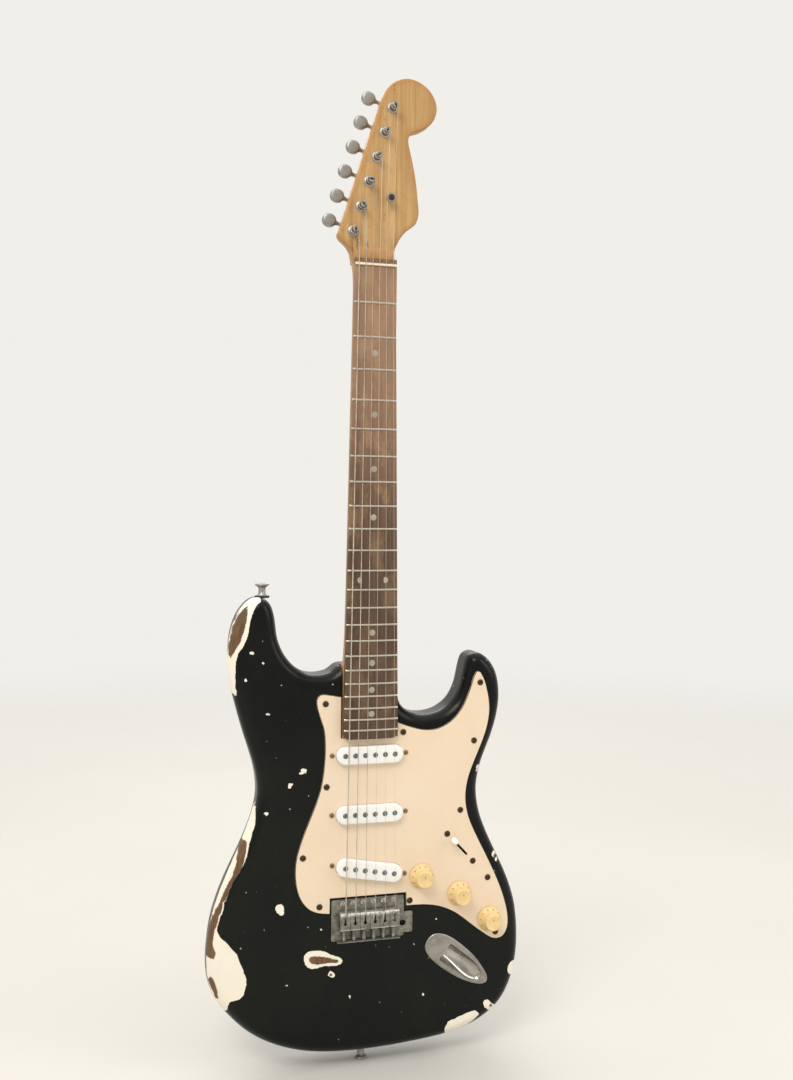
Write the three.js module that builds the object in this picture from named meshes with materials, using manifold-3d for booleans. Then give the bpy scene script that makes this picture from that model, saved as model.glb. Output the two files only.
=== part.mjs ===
// A solid-body electric guitar with three pickups and a tremolo bridge.
// Millimetres. +Z runs up the neck, the strings face -Y, and +X is the treble side.
// The origin is the centre of the end strap button's outer face.
import * as THREE from 'three';
import { mergeVertices } from 'three/addons/utils/BufferGeometryUtils.js';
import Module from 'manifold-3d';

const wasm = await Module();
wasm.setup();

// ---------- driving dimensions ----------

const GAP = 0.3;                       // clearance kept between neighbouring pieces
const SCALE_LENGTH = 647.7;            // nut to nominal bridge line
const NUT_Z = 815;
const BODY_FRONT = -22.25;
const BODY_BACK = 22.25;
const BODY_ROUNDING = 6;

const BOARD_TOP = -31.75;              // crown of the fingerboard
const BOARD_THICKNESS = 6.35;
const BOARD_CAMBER = 1.6;              // drop of the fingerboard's edges at its wide end
const BOARD_END_Z = 340;
const BOARD_TIP_Z = 822.5;
const NECK_FRONT = BOARD_TOP + BOARD_THICKNESS;
const NUT_HALF_WIDTH = 21;
const LAST_FRET_HALF_WIDTH = 28.25;
const LAST_FRET = 22;

const HEEL_BACK = -6.65;
const HEEL_END_Z = 341.3;
const TONGUE_END_Z = 414;              // where the body stops behind the neck
const POCKET_HALF_WIDTH = 28.8;
const POCKET_FLOOR = HEEL_BACK + GAP;

const HEAD_FRONT = -22.25;
const HEAD_BACK = -7.75;

const GUARD_BACK = BODY_FRONT - GAP;
const GUARD_FRONT = GUARD_BACK - 2.1;

const STRING_COUNT = 6;
const NUT_STRING_PITCH = 7;
const BRIDGE_STRING_PITCH = 10.35;
const STRING_AT_NUT = -33.1;           // string centre lines, as Y
const STRING_AT_BRIDGE = -36.2;
const STRING_RADII = [0.58, 0.45, 0.33, 0.22, 0.17, 0.13];

const TUNER_FIRST_POST = new THREE.Vector2(-21.5, 850);
const TUNER_STEP = new THREE.Vector2(7.95, 25.2);
const TUNER_SHAFT_OFFSET = 7;          // worm shaft beside the post, along the row
const TUNER_BUTTON_REACH = 23.5;       // button centre from the row of posts
const TUNER_SHAFT_Y = -2.4;

const SADDLE_FRONT_Z = 164.5;
const SADDLE_BACK_Z = 147;
const STRING_BEND_Z = 162.4;           // where a string turns down through its saddle
const PLATE_LOW_Z = 133.3;
const PLATE_HIGH_Z = 175.8;
const PLATE_FRONT = -24.4;
const PLATE_BACK = BODY_FRONT - GAP;

const PICKUP_HALF_LENGTH = 34.9;
const PICKUP_RADIUS = 9.15;
const POLE_PITCH = 10.35;

const PICKUPS = [
  { name: 'neck', x: 0, z: 323.2, turn: 0, front: -30.2 },
  { name: 'middle', x: 0.2, z: 262.8, turn: 0, front: -30.4 },
  { name: 'bridge', x: 0.4, z: 204.9, turn: -0.172, front: -31.2 },
];

const KNOBS = [
  { name: 'volume', x: 56.7, z: 193.9 },
  { name: 'tone_neck', x: 98.2, z: 172.6 },
  { name: 'tone_middle', x: 131.7, z: 143.1 },
];

const SELECTOR = { x: 98.85, z: 220.75, turn: -0.8155, pivotY: -11, leanDegrees: 30 };
const JACK = { x: 97.3, z: 101.2, turn: -0.6732 };
const STRING_TREE = { x: 15.7, z: 884.6, stringY: -28.2 };
const HORN_BUTTON_X = -107;
const HORN_BUTTON_BASE_Z = 482.8;

// ---------- colours ----------

const FINISHES = {
  lacquer: { color: 0x171712, roughness: 0.3, metalness: 0 },
  maple: { color: 0xd0a365, roughness: 0.35, metalness: 0 },
  rosewood: { color: 0x6b4733, roughness: 0.6, metalness: 0 },
  bone: { color: 0xeadcc0, roughness: 0.5, metalness: 0 },
  guard: { color: 0xf0d9bf, roughness: 0.4, metalness: 0 },
  whitePlastic: { color: 0xf2f0ea, roughness: 0.35, metalness: 0 },
  creamPlastic: { color: 0xf3dba5, roughness: 0.4, metalness: 0 },
  blackPlastic: { color: 0x1b1b1b, roughness: 0.6, metalness: 0 },
  nickel: { color: 0xb9b8b0, roughness: 0.35, metalness: 1 },
  agedNickel: { color: 0x7d7f78, roughness: 0.5, metalness: 1 },
  steel: { color: 0x9c9c98, roughness: 0.4, metalness: 1 },
};

const materials = {};
for (const [name, finish] of Object.entries(FINISHES)) {
  materials[name] = new THREE.MeshStandardMaterial(finish);
}

// ---------- outlines, as (x, z) points running anticlockwise from the front ----------

const points = (...pairs) => pairs.map(([x, z]) => new THREE.Vector2(x, z));

function smooth(outline, spanSteps = 2, closed = false) {
  const knots = outline.map((p) => new THREE.Vector3(p.x, p.y, 0));
  const curve = new THREE.CatmullRomCurve3(knots, closed, 'centripetal');
  const spans = closed ? knots.length : knots.length - 1;
  const sampled = curve.getPoints(spans * spanSteps);
  if (closed) {
    sampled.pop();
  }
  return sampled.map((p) => new THREE.Vector2(p.x, p.y));
}

function turned(outline, angle, x, z) {
  const centre = new THREE.Vector2(0, 0);
  return outline.map((p) => p.clone().rotateAround(centre, angle).add(new THREE.Vector2(x, z)));
}

function circle(radius, sides, x = 0, z = 0) {
  const ring = [];
  for (let i = 0; i < sides; i += 1) {
    const angle = (2 * Math.PI * i) / sides;
    ring.push(new THREE.Vector2(x + radius * Math.cos(angle), z + radius * Math.sin(angle)));
  }
  return ring;
}

function stadium(halfLength, radius, endSteps) {
  const ring = [];
  for (const side of [1, -1]) {
    for (let i = 0; i <= endSteps; i += 1) {
      const angle = (Math.PI * i) / endSteps - Math.PI / 2;
      const x = side * (halfLength - radius + radius * Math.cos(angle));
      ring.push(new THREE.Vector2(x, side * radius * Math.sin(angle)));
    }
  }
  return ring;
}

function rectangle(x0, x1, z0, z1, corner = 0) {
  if (corner === 0) {
    return points([x0, z0], [x1, z0], [x1, z1], [x0, z1]);
  }
  const ring = [];
  const cornerSteps = 3;
  const centres = [[x1 - corner, z0 + corner], [x1 - corner, z1 - corner],
    [x0 + corner, z1 - corner], [x0 + corner, z0 + corner]];
  centres.forEach(([x, z], quarter) => {
    for (let i = 0; i <= cornerSteps; i += 1) {
      const angle = (Math.PI / 2) * (quarter - 1 + i / cornerSteps);
      ring.push(new THREE.Vector2(x + corner * Math.cos(angle), z + corner * Math.sin(angle)));
    }
  });
  return ring;
}

const bodyOutline = [
  ...smooth(points(
    // bass cutaway and bass horn
    [-32.5, 411.2], [-38, 407], [-50, 404.3], [-64, 406.3], [-77, 414.5], [-87.5, 428], [-93.5, 444],
    [-96, 462], [-100.5, 476], [-108.5, 482.4], [-118.5, 481], [-129, 471], [-136.8, 455],
    [-141, 434], [-141.2, 408],
    // bass waist and lower bout
    [-136, 381], [-126, 346], [-116, 314], [-112.4, 288], [-116, 266], [-129, 231], [-144.5, 195],
    [-155.5, 163], [-160.6, 128], [-159.8, 100], [-153, 79.5], [-139, 61], [-119, 42.5],
    [-94, 28.8], [-62, 19.2], [-28, 14.9],
    // end of the body and treble lower bout
    [8, 14.1], [44, 15.8], [80, 19.2], [107, 24.6], [129, 34], [147, 47.6], [159, 66.5],
    [166.4, 92], [168.3, 122], [164.6, 156], [154, 187], [138, 220], [124.5, 252], [120.1, 280],
    // treble waist and treble horn
    [124.5, 306], [135, 333], [142.3, 358], [144.3, 381], [139.5, 404], [129, 418],
    [118, 422.8], [109.5, 419], [105.3, 407.5], [101.5, 390],
    // treble cutaway
    [93.5, 374], [80, 363.5], [64, 359.8], [48, 362], [36.5, 370.5], [32, 384], [31.5, 404.5],
  )),
  // end of the block behind the neck, with its treble corner rounded
  ...points([30.9, 408.4], [29.1, 411.6], [26.2, 413.5], [22, TONGUE_END_Z], [-25, TONGUE_END_Z]),
];

const guardOutline = [
  // bass side, from the neck down to the bridge
  ...smooth(points(
    [-29.2, 382.5], [-42, 384.7], [-51, 385.3], [-54.8, 380], [-52.5, 366], [-47.3, 350], [-45.8, 334],
    [-46.3, 316], [-50, 290], [-57.5, 268], [-67.5, 243], [-74.3, 220], [-75, 199], [-70, 179.5],
    [-60, 167.5], [-48, 163], [-39.2, 162],
  )),
  // bridge cut-out
  ...points([-39.2, 177.6], [40.4, 177.6], [40.4, 164]),
  // treble side, round the controls and up to the treble horn
  ...smooth(points(
    [41, 163.9], [58, 163.5], [76, 160.5], [94, 152.4], [112, 138.6], [127, 127], [138, 121],
    [147.5, 122.5], [153, 132], [152.8, 148], [145, 174.5], [133, 201], [119, 228.5], [108.5, 251.5],
    [104.6, 272], [107.5, 294], [117.5, 319.5], [126.5, 343], [129.9, 364], [127, 385],
    [119.5, 403.5], [114.8, 404], [109, 389], [99.5, 367], [87, 353], [72, 346], [56, 346],
    [40, 350.6],
  )),
  ...points([29.2, 354.8], [29.2, 341], [-29.2, 341]),
];

const headOutline = [
  ...points([21.4, 816], [21.4, 826]),
  ...smooth(points(
    // treble side, from the nut up to the notch
    [22.4, 835], [27.4, 845.5], [35, 854.8], [43.5, 861.5], [46.9, 871], [46, 886], [43.4, 907],
    [40, 924], [36.8, 937], [35.4, 946.5],
    // rounded tip
    [38.5, 952.5], [47, 956], [57, 962], [63, 970], [65.2, 981], [60, 994.4], [48.8, 1003.9],
    [34, 1007.3], [20.5, 1002.6], [11, 992.5], [4.6, 976],
  )),
  // straight edge beside the tuners, down to the bass shoulder
  ...smooth(points(
    [-34.6, 851.5], [-36.2, 847], [-34, 842.5], [-27.5, 836.8], [-22.9, 829.5], [-21.4, 822],
  )),
  ...points([-21.4, 816]),
];

const jackPlateOutline = smooth(points(
  [-40.6, 0], [-38.5, -8], [-31, -12.8], [-19, -15], [-3, -15], [14, -13.2], [29, -9.4],
  [39, -4.6], [42.2, 0.6], [39, 5.4], [27, 10.6], [12, 14.4], [-4, 15.8], [-20, 15.6],
  [-32, 12.4], [-38.6, 7.4],
), 2, true);

const controlCavityOutline = points(
  [36, 182], [64, 174.5], [88, 157.5], [117, 137], [133, 128.5], [146.5, 136.5], [147, 151.5],
  [134, 165], [122, 186], [126, 197], [119, 212], [94, 242], [80, 249], [68, 242], [64, 226], [36, 222],
);

const shieldOutline = points(
  [41, 183.5], [66, 177], [91, 160], [119, 140], [132, 131.5], [143.5, 138.5], [143.5, 150.5],
  [131, 164.5], [111, 185], [96, 194], [70, 214], [44, 217],
);

// ---------- solids ----------

function toShape(outline, holes = []) {
  const shape = new THREE.Shape(outline);
  for (const hole of holes) {
    shape.holes.push(new THREE.Path(hole));
  }
  return shape;
}

// A plate lying in the plane of the guitar's face, between y = front and y = back.
function slab(outline, front, back, { holes = [], rounding = 0, roundingSteps = 2 } = {}) {
  const geometry = new THREE.ExtrudeGeometry(toShape(outline, holes), {
    depth: back - front - 2 * rounding,
    bevelEnabled: rounding > 0,
    bevelThickness: rounding,
    bevelSize: rounding,
    bevelOffset: -rounding,
    bevelSegments: roundingSteps,
  });
  geometry.rotateX(Math.PI / 2);
  geometry.translate(0, back - rounding, 0);
  return geometry;
}

// A bar with the same side profile all along X. The profile is given as (y, z) points.
function crossBar(profile, x0, x1) {
  const geometry = new THREE.ExtrudeGeometry(toShape(profile), { depth: x1 - x0, bevelEnabled: false });
  geometry.applyMatrix4(new THREE.Matrix4().makeBasis(
    new THREE.Vector3(0, 1, 0), new THREE.Vector3(0, 0, 1), new THREE.Vector3(1, 0, 0),
  ));
  geometry.translate(x0, 0, 0);
  return geometry;
}

// A turned piece. The profile is given as (radius, height) pairs from its base up its axis.
function spun(profile, sides, base, direction) {
  const geometry = new THREE.LatheGeometry(points(...profile), sides);
  const turn = new THREE.Quaternion();
  turn.setFromUnitVectors(new THREE.Vector3(0, 1, 0), direction.clone().normalize());
  geometry.applyQuaternion(turn);
  geometry.translate(base.x, base.y, base.z);
  return geometry;
}

function rod(start, end, radius, sides) {
  const direction = end.clone().sub(start);
  return spun([[0, 0], [radius, 0], [radius, direction.length()], [0, direction.length()]],
    sides, start, direction);
}

// Rings of equal length joined into one closed skin with flat ends.
function loft(rings) {
  const count = rings[0].length;
  const positions = [];
  const triangles = [];
  for (const ring of rings) {
    for (const p of ring) {
      positions.push(p.x, p.y, p.z);
    }
  }
  for (let r = 0; r < rings.length - 1; r += 1) {
    for (let i = 0; i < count; i += 1) {
      const next = (i + 1) % count;
      const a = r * count + i;
      const b = r * count + next;
      triangles.push(a, b, b + count, a, b + count, a + count);
    }
  }
  const last = (rings.length - 1) * count;
  for (let i = 1; i < count - 1; i += 1) {
    triangles.push(0, i + 1, i, last, last + i, last + i + 1);
  }
  const geometry = new THREE.BufferGeometry();
  geometry.setAttribute('position', new THREE.Float32BufferAttribute(positions, 3));
  geometry.setIndex(triangles);
  return geometry;
}

// A round wire through a few points, with a mitred ring at each.
function wire(path, radius, sides) {
  const rings = path.map((p, i) => {
    const before = path[Math.max(i - 1, 0)];
    const after = path[Math.min(i + 1, path.length - 1)];
    const along = after.clone().sub(before).normalize();
    const across = new THREE.Vector3(1, 0, 0).addScaledVector(along, -along.x).normalize();
    const outward = along.clone().cross(across);
    const ring = [];
    for (let k = 0; k < sides; k += 1) {
      const angle = (2 * Math.PI * k) / sides;
      ring.push(p.clone().addScaledVector(across, radius * Math.cos(angle))
        .addScaledVector(outward, radius * Math.sin(angle)));
    }
    return ring;
  });
  return loft(rings);
}

function toSolid(geometry) {
  const bare = geometry.clone();
  bare.deleteAttribute('normal');
  bare.deleteAttribute('uv');
  const welded = mergeVertices(bare, 1e-4);
  const index = welded.index.array;
  const triVerts = [];
  for (let i = 0; i < index.length; i += 3) {
    const [a, b, c] = [index[i], index[i + 1], index[i + 2]];
    if (a !== b && b !== c && c !== a) {
      triVerts.push(a, b, c);
    }
  }
  return new wasm.Manifold(new wasm.Mesh({
    numProp: 3,
    vertProperties: new Float32Array(welded.attributes.position.array),
    triVerts: new Uint32Array(triVerts),
  }));
}

function toGeometry(solid) {
  const mesh = solid.getMesh();
  const geometry = new THREE.BufferGeometry();
  geometry.setAttribute('position', new THREE.BufferAttribute(mesh.vertProperties, 3));
  geometry.setIndex(new THREE.BufferAttribute(mesh.triVerts, 1));
  return geometry;
}

// Joins the first list of geometries, then cuts the second list out.
function carve(joined, cut = []) {
  let solid = toSolid(joined[0]);
  for (const geometry of joined.slice(1)) {
    solid = solid.add(toSolid(geometry));
  }
  for (const geometry of cut) {
    solid = solid.subtract(toSolid(geometry));
  }
  return toGeometry(solid);
}

// ---------- places worked out from the driving dimensions ----------

const TOWARD_PLAYER = new THREE.Vector3(0, -1, 0);
const UP_THE_NECK = new THREE.Vector3(0, 0, 1);
const BLEED = 4;                       // how far a cutter runs past the face it opens

const fretZ = (fret) => NUT_Z - SCALE_LENGTH * (1 - 2 ** (-fret / 12));
const lastFretZ = fretZ(LAST_FRET);

function neckHalfWidth(z) {
  const slope = (LAST_FRET_HALF_WIDTH - NUT_HALF_WIDTH) / (NUT_Z - lastFretZ);
  return NUT_HALF_WIDTH + slope * (NUT_Z - z);
}

const stringOffset = (i) => i - (STRING_COUNT - 1) / 2;
const rowUp = TUNER_STEP.clone().normalize();
const rowOut = new THREE.Vector2(-rowUp.y, rowUp.x);
const postCentre = (i) => TUNER_FIRST_POST.clone().addScaledVector(TUNER_STEP, i);

function inFace(plan, y) {
  return new THREE.Vector3(plan.x, y, plan.y);
}

// ---------- the assembly ----------

const guitar = new THREE.Group();

function addPiece(name, geometry, material) {
  const mesh = new THREE.Mesh(geometry, material);
  mesh.name = name;
  guitar.add(mesh);
}

const TREMOLO_ROUTE = { x: 36, low: 141, high: 168 };
const SPRING_ROUTE = { x: 38, low: 141, high: 262, floor: 6 };

function makeBody() {
  const pickupRouteFloor = -3.25;
  const controlRouteFloor = 10;
  const jackRouteFloor = 9;
  const pocket = points(
    [-POCKET_HALF_WIDTH, HEEL_END_Z - GAP], [POCKET_HALF_WIDTH, HEEL_END_Z - GAP],
    [POCKET_HALF_WIDTH, TONGUE_END_Z + BLEED], [-POCKET_HALF_WIDTH, TONGUE_END_Z + BLEED],
  );
  const front = BODY_FRONT - BLEED;
  const block = slab(bodyOutline, BODY_FRONT, BODY_BACK, { rounding: BODY_ROUNDING });
  const jackRoute = turned(dishPlan(1.6), JACK.turn, JACK.x, JACK.z);
  const socketRoute = turned(rectangle(-34, -16, -8.5, 8.5), JACK.turn, JACK.x, JACK.z);
  addPiece('body', carve([block], [
    slab(pocket, front, POCKET_FLOOR),
    slab(rectangle(-43, 43, 186, 335), front, pickupRouteFloor),
    slab(controlCavityOutline, front, controlRouteFloor),
    slab(jackRoute, front, jackRouteFloor),
    slab(socketRoute, front, jackRouteFloor),
    slab(rectangle(-TREMOLO_ROUTE.x, TREMOLO_ROUTE.x, TREMOLO_ROUTE.low, TREMOLO_ROUTE.high),
      front, BODY_BACK + BLEED),
    slab(rectangle(-SPRING_ROUTE.x, SPRING_ROUTE.x, SPRING_ROUTE.low, SPRING_ROUTE.high),
      SPRING_ROUTE.floor, BODY_BACK + BLEED),
  ]), materials.lacquer);
}

function neckSection(z, back, squareness) {
  const halfWidth = neckHalfWidth(z);
  const steps = 12;
  const ring = [];
  for (let i = 0; i <= steps; i += 1) {
    const angle = (Math.PI * i) / steps;
    const round = (value) => Math.sign(value) * Math.abs(value) ** squareness;
    const x = halfWidth * round(Math.cos(angle));
    const y = NECK_FRONT + (back - NECK_FRONT) * round(Math.sin(angle));
    ring.push(new THREE.Vector3(x, y, z));
  }
  return ring;
}

function makeNeck() {
  const heelEndWidth = neckHalfWidth(HEEL_END_Z) - 0.1;
  const heelTopWidth = neckHalfWidth(TONGUE_END_Z) - 0.1;
  const heel = slab(points(
    [-heelEndWidth, HEEL_END_Z], [heelEndWidth, HEEL_END_Z],
    [heelTopWidth, TONGUE_END_Z], [-heelTopWidth, TONGUE_END_Z],
  ), NECK_FRONT, HEEL_BACK);
  const shaft = loft([
    neckSection(TONGUE_END_Z - 4, HEEL_BACK - 0.2, 0.32),
    neckSection(TONGUE_END_Z + 8, HEEL_BACK - 0.7, 0.5),
    neckSection(TONGUE_END_Z + 34, HEEL_BACK - 1.8, 0.72),
    neckSection(fretZ(12), BOARD_TOP + 22.9, 0.82),
    neckSection(fretZ(5), BOARD_TOP + 21.6, 0.82),
    neckSection(NUT_Z - 30, BOARD_TOP + 21, 0.82),
    neckSection(NUT_Z + 1, BOARD_TOP + 21.6, 0.7),
    neckSection(NUT_Z + 7.5, HEAD_BACK - 0.2, 0.5),
  ]);
  const head = slab(headOutline, HEAD_FRONT, HEAD_BACK);
  const scoopWidth = NUT_HALF_WIDTH - 0.2;
  const scoop = crossBar(points(
    [NECK_FRONT, NUT_Z + 3], [NECK_FRONT, BOARD_TIP_Z + 1], [NECK_FRONT + 1.6, BOARD_TIP_Z + 5],
    [HEAD_FRONT - 0.4, BOARD_TIP_Z + 12], [HEAD_FRONT + 1, BOARD_TIP_Z + 18], [HEAD_FRONT + 3, NUT_Z + 3],
  ).reverse(), -scoopWidth, scoopWidth);
  const postHoles = [];
  for (let i = 0; i < STRING_COUNT; i += 1) {
    const centre = postCentre(i);
    postHoles.push(slab(circle(3.9, 12, centre.x, centre.y), HEAD_FRONT - BLEED, HEAD_BACK + BLEED));
  }
  addPiece('neck', carve([heel, shaft, head, scoop], postHoles), materials.maple);
}

function boardSection(z, halfWidth) {
  const camber = BOARD_CAMBER * (halfWidth / LAST_FRET_HALF_WIDTH) ** 2;
  const back = NECK_FRONT - GAP;
  const ring = [new THREE.Vector3(halfWidth, back, z), new THREE.Vector3(-halfWidth, back, z)];
  const steps = 6;
  for (let i = 0; i <= steps; i += 1) {
    const across = -1 + (2 * i) / steps;
    ring.push(new THREE.Vector3(halfWidth * across, BOARD_TOP + camber * across * across, z));
  }
  return ring;
}

function makeFingerboardAndNut() {
  const nutLow = NUT_Z;
  const nutHigh = NUT_Z + 3.3;
  const nutFloor = BOARD_TOP + 2.6;
  const board = loft([
    boardSection(BOARD_END_Z, 20),
    boardSection(BOARD_END_Z + 2, 25.4),
    boardSection(BOARD_END_Z + 7, LAST_FRET_HALF_WIDTH + 0.1),
    boardSection(BOARD_TIP_Z, neckHalfWidth(BOARD_TIP_Z)),
  ]);
  const slot = slab(rectangle(-40, 40, nutLow, nutHigh), BOARD_TOP - BLEED, nutFloor);
  addPiece('fingerboard', carve([board], [slot]), materials.rosewood);

  const halfWidth = NUT_HALF_WIDTH - 0.1;
  const nutProfile = points(
    [nutFloor - GAP, nutLow + GAP], [nutFloor - GAP, nutHigh - GAP],
    [BOARD_TOP - 0.2, nutHigh - GAP], [STRING_AT_NUT + 0.8, nutLow + GAP],
  ).reverse();
  addPiece('nut', crossBar(nutProfile, -halfWidth, halfWidth), materials.bone);
}

function pickupOutline(pickup, grow, endSteps) {
  const ring = stadium(PICKUP_HALF_LENGTH + grow, PICKUP_RADIUS + grow, endSteps);
  return turned(ring, pickup.turn, pickup.x, pickup.z);
}

function polePlaces(pickup) {
  const row = [];
  for (let i = 0; i < STRING_COUNT; i += 1) {
    row.push(new THREE.Vector2(stringOffset(i) * POLE_PITCH, 0));
  }
  return turned(row, pickup.turn, pickup.x, pickup.z);
}

function makePickup(pickup) {
  const coverBack = pickup.front + 16.5;
  const wall = 1.3;
  const poleRadius = 2.4;
  const holes = polePlaces(pickup).map((p) => circle(poleRadius + GAP, 8, p.x, p.y));
  const top = slab(pickupOutline(pickup, 0, 8), pickup.front, coverBack, { holes });
  const hollow = slab(pickupOutline(pickup, -wall, 8), pickup.front + 1.6, coverBack + BLEED);
  addPiece(`${pickup.name}_pickup_cover`, carve([top], [hollow]), materials.whitePlastic);

  const bobbin = slab(pickupOutline(pickup, -wall - 0.8, 6), pickup.front + 2.2, coverBack - 1);
  const poles = polePlaces(pickup).map(
    (p) => slab(circle(poleRadius, 8, p.x, p.y), pickup.front - 0.3, pickup.front + 6),
  );
  addPiece(`${pickup.name}_pickup_coil`, carve([bobbin, ...poles]), materials.steel);
}

function makeGuard() {
  const pickupWindows = PICKUPS.map((pickup) => pickupOutline(pickup, GAP, 8));
  const shaftHoles = KNOBS.map((knob) => circle(4.2, 10, knob.x, knob.z));
  const leverSlot = turned(rectangle(-11.6, 11.6, -1.2, 1.2), SELECTOR.turn, SELECTOR.x, SELECTOR.z);
  addPiece('pickguard', slab(guardOutline, GUARD_FRONT, GUARD_BACK, {
    holes: [...pickupWindows, ...shaftHoles, leverSlot],
  }), materials.guard);
}

const KNOB_BASE = GUARD_FRONT - 0.5;
const KNOB_HEIGHT = 15.5;

function makeControls() {
  const shieldFront = BODY_FRONT + 0.15;
  const shieldBack = shieldFront + 0.7;
  const potBack = shieldBack + 11;
  const shaftRadius = 3;
  for (const knob of KNOBS) {
    const cap = spun([
      [0, 0], [12.7, 0], [12.7, 1.6], [11.9, 3.2], [9.6, 6.4], [8.9, 14.6], [8.3, KNOB_HEIGHT],
      [0, KNOB_HEIGHT],
    ], 24, new THREE.Vector3(knob.x, KNOB_BASE, knob.z), TOWARD_PLAYER);
    const shaft = slab(circle(shaftRadius, 10, knob.x, knob.z), KNOB_BASE - 2, shieldBack + 6);
    addPiece(`${knob.name}_knob`, carve([cap, shaft]), materials.creamPlastic);
  }

  const shield = slab(shieldOutline, shieldFront, shieldBack);
  const pots = KNOBS.map((knob) => slab(circle(11.6, 16, knob.x, knob.z), shieldFront + 0.2, potBack));
  const sockets = KNOBS.map(
    (knob) => slab(circle(shaftRadius + GAP, 10, knob.x, knob.z), shieldFront - BLEED, shieldBack + 6 + GAP),
  );
  addPiece('potentiometers_on_shield', carve([shield, ...pots], sockets), materials.steel);

  const frameFront = BODY_FRONT + 0.15;
  const frame = turned(rectangle(-23, 23, -5, 5), SELECTOR.turn, SELECTOR.x, SELECTOR.z);
  const channel = turned(rectangle(-16, 16, -2.2, 2.2), SELECTOR.turn, SELECTOR.x, SELECTOR.z);
  addPiece('selector_switch', carve(
    [slab(frame, frameFront, 2)], [slab(channel, frameFront - BLEED, -4)],
  ), materials.steel);

  const lean = THREE.MathUtils.degToRad(SELECTOR.leanDegrees);
  const blade = slab(rectangle(-2.6, 2.6, -0.8, 0.8), -21, 3);
  const tip = slab(stadium(4.3, 3.3, 5), -28.5, -19.6, { rounding: 1 });
  const lever = carve([blade, tip]);
  lever.rotateZ(-lean);
  lever.rotateY(-SELECTOR.turn);
  lever.translate(SELECTOR.x, SELECTOR.pivotY, SELECTOR.z);
  addPiece('selector_lever', lever, materials.whitePlastic);
}

// plan of the dished recess along its plate: a square end by the socket and a bullet-shaped far end
function dishPlan(grow) {
  const half = 8.8 + grow;
  return points(
    [-17 - grow, -half], [13, -half], [23 + grow / 2, -7.2 - grow], [30 + grow, -4 - grow / 2],
    [33 + grow, 0], [30 + grow, 4 + grow / 2], [23 + grow / 2, 7.2 + grow], [13, half],
    [-17 - grow, half],
  );
}

// side profile of the recess: a steep end wall and a long ramp
function dishProfile(grow) {
  const surface = GUARD_BACK - grow;
  return points(
    [surface - BLEED, -16.5 - grow], [surface + 10.5 + 2 * grow, -13 - grow],
    [surface + 9.5 + 2 * grow, 2], [surface + 5 + 2 * grow, 18], [surface - 0.6, 33 + grow],
    [surface - BLEED, 33 + grow],
  ).reverse();
}

function makeJack() {
  const plateBack = BODY_FRONT - GAP;
  const plateFront = plateBack - 1.3;
  const wall = 1;
  const place = (geometry, turn) => {
    geometry.rotateY(turn);
    geometry.translate(JACK.x, 0, JACK.z);
    return geometry;
  };
  const dish = (grow, front) => {
    const ramp = crossBar(dishProfile(grow), -20, 20).rotateY(Math.PI / 2);
    const column = slab(dishPlan(grow), front, BODY_BACK);
    return place(toGeometry(toSolid(ramp).intersect(toSolid(column))), -JACK.turn);
  };
  const plate = place(slab(jackPlateOutline, plateFront, plateBack), -JACK.turn);

  // the socket stands in the steep end wall and faces down the ramp
  const socketCentre = new THREE.Vector3(-15.5, plateBack + 6, 0);
  const socketDirection = new THREE.Vector3(0.94, -0.34, 0).normalize();
  const socketRod = (from, to, radius) => place(rod(
    socketCentre.clone().addScaledVector(socketDirection, from),
    socketCentre.clone().addScaledVector(socketDirection, to), radius, 12,
  ), -JACK.turn);
  addPiece('jack_plate', carve(
    [plate, dish(wall, plateFront)], [dish(0, plateFront - BLEED), socketRod(-6, 5, 4.7 + GAP)],
  ), materials.agedNickel);
  addPiece('output_jack', carve(
    [socketRod(-15, 3, 4.7), socketRod(-15, -3.6, 7)], [socketRod(-13, 8, 3.25)],
  ), materials.nickel);
}

function makeStrapButtons() {
  const profile = [[0, 0], [5.4, 0], [4.2, 1.6], [3.5, 6], [4, 9.6], [7, 11.4], [7.2, 12.6],
    [6.4, 13.6], [0, 13.6]];
  const bodyEnd = new THREE.Vector3(0, 0, 13.6);
  addPiece('end_strap_button', spun(profile, 20, bodyEnd, UP_THE_NECK.clone().negate()), materials.nickel);
  const horn = new THREE.Vector3(HORN_BUTTON_X, 0, HORN_BUTTON_BASE_Z);
  addPiece('horn_strap_button', spun(profile, 20, horn, UP_THE_NECK), materials.nickel);
}

function makeBackPlates() {
  const neckPlate = rectangle(-25.4, 25.4, 343.5, 407, 7);
  addPiece('neck_plate', slab(neckPlate, BODY_BACK + GAP, BODY_BACK + GAP + 1.5), materials.nickel);

  const stringHoles = [];
  for (let i = 0; i < STRING_COUNT; i += 1) {
    stringHoles.push(circle(4.2, 10, stringOffset(i) * BRIDGE_STRING_PITCH, 156));
  }
  const cover = rectangle(-46, 46, 130, 275, 5);
  addPiece('tremolo_cover', slab(cover, BODY_BACK + GAP, BODY_BACK + GAP + 1.8, { holes: stringHoles }),
    materials.guard);
}

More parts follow.
